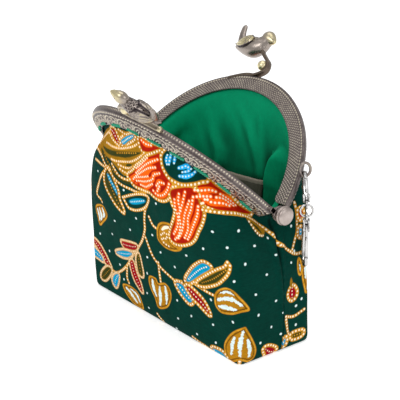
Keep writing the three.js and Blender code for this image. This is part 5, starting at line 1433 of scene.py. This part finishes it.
    # wings: folded leaf shapes with ridged feathers and notched tips
    na, nb = 56, 41
    A, B = np.meshgrid(np.linspace(0, 1, na), np.linspace(-1, 1, nb), indexing="ij")
    S0 = np.array([-15.2, 66.7])
    S1 = S0 + fold * np.array([-12.6, -3.0])
    ax = (S1 - S0) / np.linalg.norm(S1 - S0)
    pe = np.array([-ax[1], ax[0]])
    L = np.linalg.norm(S1 - S0)
    w = 3.7 * slim ** 1.5 * np.sin(math.pi * np.clip(A, 0.02, 0.985) ** 0.8) ** 0.75 + 0.12
    tip = 1 - 0.16 * smooth(0.55, 1, A) * np.abs(np.sin(2.5 * math.pi * B)) * np.abs(B)
    feather = np.abs(np.sin(math.pi * (3.0 * B + 0.7 * A))) ** 0.7
    cover = np.clip(1 - ((A * 6 + 1.3 * (2 * np.abs((2 * B) % 1.0 - 0.5)) ** 2) % 1.0), 0, 1) * smooth(0.5, 0.38, A)
    q = S0 + (A * L * tip)[..., None] * ax + (B * w)[..., None] * pe
    axis_u = np.interp(q[..., 0], SPINE[:, 0], SPINE[:, 1])
    thick = slim * np.interp(q[..., 0], SPINE[:, 0], SPINE[:, 2])
    girth = 0.5 - 0.9 * dim + 0.86 * thick * np.sqrt(np.clip(1 - (0.55 + 0.9 * dim) * ((q[..., 1] - axis_u) / np.maximum(thick, 0.6)) ** 2, 0.12, 1))
    for side in (-1, 1):
        outer = girth + (0.75 - dim) * (1 - B ** 2) * np.sin(math.pi * np.clip(A, 0, 1) ** 0.7) + 0.42 * (feather - 0.5) * smooth(0.35, 0.5, A) * (1 - B ** 4) + 0.34 * cover * (1 - B ** 2)
        inner = outer - 0.7 - 1.2 * (1 - B ** 2)
        top = np.concatenate([q, (1.2 + side * outer)[..., None]], -1)
        low = np.concatenate([q, (1.2 + side * inner)[..., None]], -1)
        V = np.concatenate([top.reshape(-1, 3), low.reshape(-1, 3)])
        k = na * nb
        F = [list(f) for f in grid_quads(na, nb)] + [list(f)[::-1] for f in grid_quads(na, nb, k)]
        edge = [i * nb for i in range(na)] + [(na - 1) * nb + j for j in range(1, nb)] + [i * nb + nb - 1 for i in range(na - 2, -1, -1)] + list(range(nb - 2, 0, -1))
        for p in range(len(edge)):
            r = edge[(p + 1) % len(edge)]
            F.append([edge[p], r, r + k, edge[p] + k][::-1])
        # dim paints shade here too: the front bird's wings are darker than the rear bird's
        bright = 0.46 - dim + 0.62 * feather * smooth(0.35, 0.5, A) + 0.6 * cover - 0.95 * smooth(0.7, 0.95, np.abs(B)) - 0.5 * smooth(0.92, 1, A)
        bird.add(put(V), outward(V, F), np.concatenate([bright.ravel(), np.full(k, 0.34)]))
    # tail: one blunt feather standing up
    p = catmull(np.array([(-23.8, 64.0, 1.2), (-26.4, 66.6, 1.2), (-28.2, 69.8, 1.2), (-29.0, 72.0, 1.2), (-29.6, 73.9, 1.2)]), 40)
    f = np.linspace(0, 1, 40)
    blunt = np.sqrt(np.clip(1 - np.clip((f - 0.86) / 0.15, 0, 1) ** 2, 0.02, 1))
    V, F = tube(p, 1, 24, scale=np.column_stack([(2.3 - 0.95 * f) * blunt, (1.15 - 0.4 * f) * blunt]), up=(1, 0.45, 0))
    a = np.tile(np.arange(24) / 24 * 2 * math.pi, 40)
    bird.add(put(V), F, 0.26 + 0.16 * np.cos(3 * a) ** 2 + 0.1 * np.repeat(f, 24))


ARCH_V, ARCH_Q, ARCH_CAPS, ARCH_A = arch_mesh()
_f = ARCH_Q.astype(np.int64)
_vol = (np.einsum("ij,ij->i", ARCH_V[_f[:, 0]], np.cross(ARCH_V[_f[:, 1]], ARCH_V[_f[:, 2]]))
        + np.einsum("ij,ij->i", ARCH_V[_f[:, 0]], np.cross(ARCH_V[_f[:, 2]], ARCH_V[_f[:, 3]]))).sum()
if _vol < 0:
    ARCH_Q, ARCH_CAPS = ARCH_Q[:, ::-1], [c[::-1] for c in ARCH_CAPS]

def stitches(name, world, front):
    """Twisted green thread in a row of dashes along the lower edge of the outer plate, with near-black balls at the
    holes it passes through as painted shade.
    """
    thread, holes = Parts(), Parts()
    for t0 in (24, 44.5, 62.5, 80.5, 95.4, 109.9, 124.1, 138.2, 151.8, 166.2):
        q = np.linspace(-1, 1, 46)
        t = np.radians(t0 + 4.3 * q)
        D = 6.15 + 0.25 * math.sin(t0) * q
        sink = -1.3 * smooth(0.82, 1.0, np.abs(q)) + 0.32
        d, n = 0.35 + D * 0.9294 - 0.369 * sink, 2.8 + D * 0.369 + 0.929 * sink
        r = ARCH_R - d
        path = np.column_stack([r * np.cos(t), r * np.sin(t), n])
        T = np.gradient(path, axis=0)
        T /= np.linalg.norm(T, axis=1, keepdims=True)
        A = np.array([0, 0, 1.0]) - T * T[:, 2:]
        A /= np.linalg.norm(A, axis=1, keepdims=True)
        B = np.cross(T, A)
        turn = q * 3.4 * math.pi
        for k in (0, math.pi):
            V, F = tube(path + 0.3 * (A * np.cos(turn + k)[:, None] + 1.25 * B * np.sin(turn + k)[:, None]), 0.4, 10)
            thread.add(V, F, 0.5)
        # painted shade: a near-black ball sunk at each end of a dash stands for the dark hole
        for e in (0, -1):
            V, F = ball(path[e], (0.8, 0.8, 0.8), 16, 10)
            V[:, 2] += 0.55
            holes.add(V, outward(V, F), -0.6)
    ob = thread.object(name, [M_THREAD], slot="lining_cloth", to_world=world)
    uv_layer(ob, "Weave", np.concatenate(thread.v)[:, :2] / 100)
    holes.object(name + "_hole_shades", [M_HOLE_SHADE], slot="antique_bronze", to_world=world)


LOOP_T = math.radians(23)
LOOP_POINT = half_world(False)(np.array([53.7 * math.cos(LOOP_T), 53.7 * math.sin(LOOP_T), 1.3]))
CHARM_TURN = math.radians(-38.5)
ALONG = np.array([math.cos(CHARM_TURN), math.sin(CHARM_TURN), 0])
ACROSS = np.array([-math.sin(CHARM_TURN), math.cos(CHARM_TURN), 0])
# bright (0.1 rear, 0.55 front) and dim (0.34 front) in these settings are painted light and shade on copies of the same
# castings
for name, front, setting in (("frame_half_rear", False, (0, 0, 0, 0.1, -13, 0.34, (0, 0), 1.0, 1.0, -20, 1.45, 0.66, 1.3, 0.0)), ("frame_half_front", True, (11, 1.2, 0.6, 0.55, 24, 0.34, (0.3, 0.6), 0.8, 0.84, -21, 1.05, 0.7, 0.0, 0.34))):
    world = half_world(front)
    arch = build(name, world(ARCH_V), ARCH_Q, ngons=ARCH_CAPS, mats=[M_BRONZE])
    attribute(arch, "relief", ARCH_A)
    stitches(name + "_stitches", world, front)
    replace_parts(arch, "frame_front" if front else "frame_rear")
    ears, strip, bird = Parts(), Parts(), Parts()
    ear_solids(ears)
    ears.object(name + "_ears", [M_BRONZE], slot="antique_bronze", to_world=world)
    bird_clasp(strip, bird, *setting)
    strip.object(name + "_ribbon", [M_RIBBON], slot="antique_bronze", to_world=world)
    bird.object(name + "_bird", [M_BIRD], slot="antique_bronze", to_world=world)
_a = np.arange(48) / 48 * 2 * math.pi
loop = Parts()
V, F = tube(LOOP_POINT + np.outer(2.1 * np.cos(_a), ACROSS) + np.outer(2.8 * np.sin(_a), [0, 0, 1]), 0.6, 16, closed=True)
loop.add(V, F, 0.62)
loop.object("side_loop", [M_BRONZE], slot="antique_bronze")

# ------------------------------------------------------------------ hinge rivets
RIVET = catmull(np.array([(3.7, 53.7), (3.86, 53.85), (3.95, 54.15), (3.9, 54.5), (3.55, 54.72), (3.38, 54.82), (3.38, 54.98), (3.62, 55.12),
                          (3.74, 55.4), (3.62, 55.85), (3.2, 56.28), (2.4, 56.58), (1.3, 56.72), (0.3, 56.76)]), 44)
RIVET = [(0.0, 49.3), (1.9, 49.3), (2.2, 49.5), (2.2, 50.5), (2.0, 50.7), (1.15, 50.7), (1.15, 53.7)] + [tuple(p) for p in RIVET] + [(0.0, 56.77)]
for name, sign in (("rivet_right", 1), ("rivet_left", -1)):
    V, F = lathe(RIVET, 64)
    V = V * [sign, 1, 1] + [0, 0, HINGE_Z]
    cap = Parts()
    cap.add(V, outward(V, F), 0.6)
    ob = cap.object("hinge_" + name, [M_RIVET], slot="silver")
    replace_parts(ob, name)

# ------------------------------------------------------------------ charm: two lobster clasps on a ring
UPPER_L, LOWER_L = 13.0, 20.5
HOOK = np.array([(0.0, 0.10), (-0.11, 0.24), (-0.165, 0.45), (-0.175, 0.68), (-0.12, 0.90), (0.0, 1.0), (0.12, 0.93), (0.165, 0.80)])


def rot_z(a):
    return np.array([[math.cos(a), -math.sin(a), 0], [math.sin(a), math.cos(a), 0], [0, 0, 1]])


def rot_x(a):
    return np.array([[1, 0, 0], [0, math.cos(a), -math.sin(a)], [0, math.sin(a), math.cos(a)]])


REACH = UPPER_L - 0.65 - 0.6 - 0.3
LEAN_FLAT = math.asin(5.2 / REACH)
LEAN_SIDE = math.asin(0.6 / (REACH * math.cos(LEAN_FLAT)))
LOOP_BOTTOM = LOOP_POINT - np.array([0, 0, 2.8])
HANG = LOOP_BOTTOM + 5.2 * ALONG + 0.6 * ACROSS
UPPER_Z = LOOP_BOTTOM[2] - REACH * math.cos(LEAN_FLAT) * math.cos(LEAN_SIDE)
RING_Z = UPPER_Z - 2.55
LOWER_Z = RING_Z - 2.55


def clasp_world(z, upright, turn):
    M = rot_z(CHARM_TURN) @ rot_x(upright) @ rot_z(turn)
    t = np.array([HANG[0], HANG[1], z])
    return lambda V: np.asarray(V, float) @ M.T + t


def disc_points(a, b, r, n=20, start=0.0, sweep_by=2 * math.pi):
    q = np.linspace(start, start + sweep_by, n, endpoint=False)
    return [(a + r * math.cos(v), b + r * math.sin(v)) for v in q]


def clasp(name, L, world, wide, body_node, lever_node, lever_body):
    k = L / 13
    hook_r = 0.65 * k ** 0.8
    pa, pb, ta, tb = 0.065 * L, 0.22 * L, 0.165 * L, 0.745 * L
    body = Parts()
    path = catmull(np.column_stack([HOOK * L, np.zeros(len(HOOK))]), 90)
    f = np.linspace(0, 1, 90)
    scale = np.column_stack([1.0 + (wide - 1) * np.sin(math.pi * np.clip(f / 0.9, 0, 1)) ** 0.7 - 0.1 * smooth(0.85, 1, f),
                             1.0 + 0.2 * np.sin(math.pi * np.clip(f / 0.8, 0, 1)) - 0.1 * smooth(0.85, 1, f)])
    V, F = tube(path, hook_r, 20, up=(0, 0, 1), scale=scale)
    body.add(V, F, 0.6)
    a = np.arange(40) / 40 * 2 * math.pi
    V, F = tube(np.column_stack([1.45 * np.cos(a), 1.45 * np.sin(a), 0 * a]), 0.5, 16, closed=True)
    body.add(V, F, 0.6)
    heel = [(-0.9, 1.09), (0.9, 1.09), (pa + 1.125, pb - 0.75), (pa + 1.2, pb), (pa + 1.125, pb + 0.75), (pa + 0.45, pb + 1.35),
            (pa - 1.35, pb + 1.05), (-0.145 * L, 0.36 * L), (-0.15 * L, 0.30 * L), (-0.135 * L, 0.25 * L)]
    smooth_heel = catmull(np.array(heel), 48, True)
    cheek = 0.65 + 0.62 * wide ** 0.5
    for lo, hi in ((0.65, cheek), (-cheek, -0.65)):
        V, F = prism(smooth_heel, lo, hi, 0.16)
        body.add(V, F, 0.6)
    filler = [(-0.8, 1.12), (0.75, 1.12), (min(0.5, pa - 0.2), pb - 1.62), (pa - 1.62, pb + 0.1), (-0.14 * L, 0.35 * L), (-0.132 * L, 0.255 * L)]
    V, F = prism(filler, -0.66, 0.66, 0.02)
    body.add(V, F, 0.6)
    ob = body.object(name + "_body", [M_SILVER], slot="silver", to_world=world)
    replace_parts(ob, body_node)
    pin = Parts()
    V, F = lathe([(0, -cheek - 0.14), (0.34, -cheek - 0.14), (0.52, -cheek - 0.04), (0.46, -cheek + 0.05), (0.46, cheek - 0.05), (0.52, cheek + 0.04), (0.34, cheek + 0.14), (0, cheek + 0.14)], 24)
    V = np.column_stack([V[:, 1] + pa, V[:, 2] + pb, V[:, 0]])
    pin.add(V, outward(V, F), 0.3)
    pin.object(name + "_pin", [M_DARK], slot="silver", to_world=world)
    lever = Parts()
    w = 0.55 * math.sqrt(k)
    ang = math.atan2(tb - pb, ta - pa)
    outline = disc_points(pa, pb, 1.15, 30, ang + 0.75, 2 * math.pi - 1.5) + [
        (ta + w * math.sin(ang), tb - w * math.cos(ang))] + disc_points(ta, tb, w * 0.98, 10, ang - math.pi / 2 + 0.2, math.pi - 0.2) + [(ta - w * math.sin(ang), tb + w * math.cos(ang))]
    V, F = prism(outline, -0.375, 0.375, 0.1)
    lever.add(V, F, 0.6)
    V, F = ball((pa + 0.36 * (ta - pa) + 0.85, pb + 0.36 * (tb - pb), 0), (0.8, 0.8, 0.5), 20, 14)
    lever.add(V, outward(V, F), 0.6)
    ob = lever.object(name + "_lever", [M_SILVER], body=lever_body, slot="silver", to_world=world)
    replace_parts(ob, lever_node)


clasp("upper_hook", UPPER_L, clasp_world(UPPER_Z, math.pi / 2 + LEAN_SIDE, LEAN_FLAT), 2.0, "upper_clasp_body", "upper_clasp_lever", "upper_lever")
clasp("lower_hook", LOWER_L, clasp_world(LOWER_Z, -math.pi / 2, 0.0), 1.6, "lower_clasp_body", "lower_clasp_lever", "lower_lever")
ring = Parts()
V, F = tube(np.array([HANG[0], HANG[1], RING_Z]) + np.outer(2.55 * np.cos(_a), ACROSS) + np.outer(2.55 * np.sin(_a), [0, 0, 1]), 0.45, 16, closed=True)
ring.add(V, F, 0.6)
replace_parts(ring.object("split_ring", [M_SILVER], slot="silver"), "jump_ring")

# ------------------------------------------------------------------ camera, floor and light
cam = bpy.data.objects.new("camera", bpy.data.cameras.new("camera"))
bpy.context.scene.collection.objects.link(cam)
cam.location = (0.39325, -0.312555, 0.242784)
cam.rotation_euler = (math.radians(90 - 20.83), 0, 0.897)
cam.data.sensor_width = 36
cam.data.lens = 113.95
bpy.context.scene.camera = cam

floor = build("floor", [[-4000, -4000, -0.15], [4000, -4000, -0.15], [4000, 4000, -0.15], [-4000, 4000, -0.15]], [[0, 1, 2, 3]], body=None)
nd = Nodes("floor_pale")
nd.link(nd.mix(nd.noise(3, 2.0, 0.5, nd.object_coord()), (0.86, 0.86, 0.86), (0.9, 0.9, 0.9)), nd.bsdf.inputs["Base Color"])
nd.set(Roughness=0.9, Emission_Color=(1, 1, 1, 1), Emission_Strength=0.5)
floor.data.materials.append(nd.mat)


def area(name, loc, target, size, power, colour=(1, 1, 1)):
    l = bpy.data.lights.new(name, "AREA")
    l.shape, l.size, l.energy, l.color = "DISK", size, power, colour
    o = bpy.data.objects.new(name, l)
    bpy.context.scene.collection.objects.link(o)
    o.location = loc
    o.rotation_euler = (Vector(target) - Vector(loc)).to_track_quat("-Z", "Y").to_euler()
    return o


area("key", (0.15, -0.75, 0.75), (0, 0, 0.05), 0.5, 2.7)
area("fill", (0.8, 0.1, 0.5), (0, 0, 0.05), 0.5, 1.2)
area("top", (-0.1, 0.1, 0.9), (0, 0, 0.05), 0.6, 1.5)
world = bpy.data.worlds.new("studio")
bpy.context.scene.world = world
world.use_nodes = True
world.node_tree.nodes["Background"].inputs[0].default_value = (1, 1, 1, 1)
world.node_tree.nodes["Background"].inputs[1].default_value = 0.72
bpy.context.scene.view_settings.view_transform = "Standard"
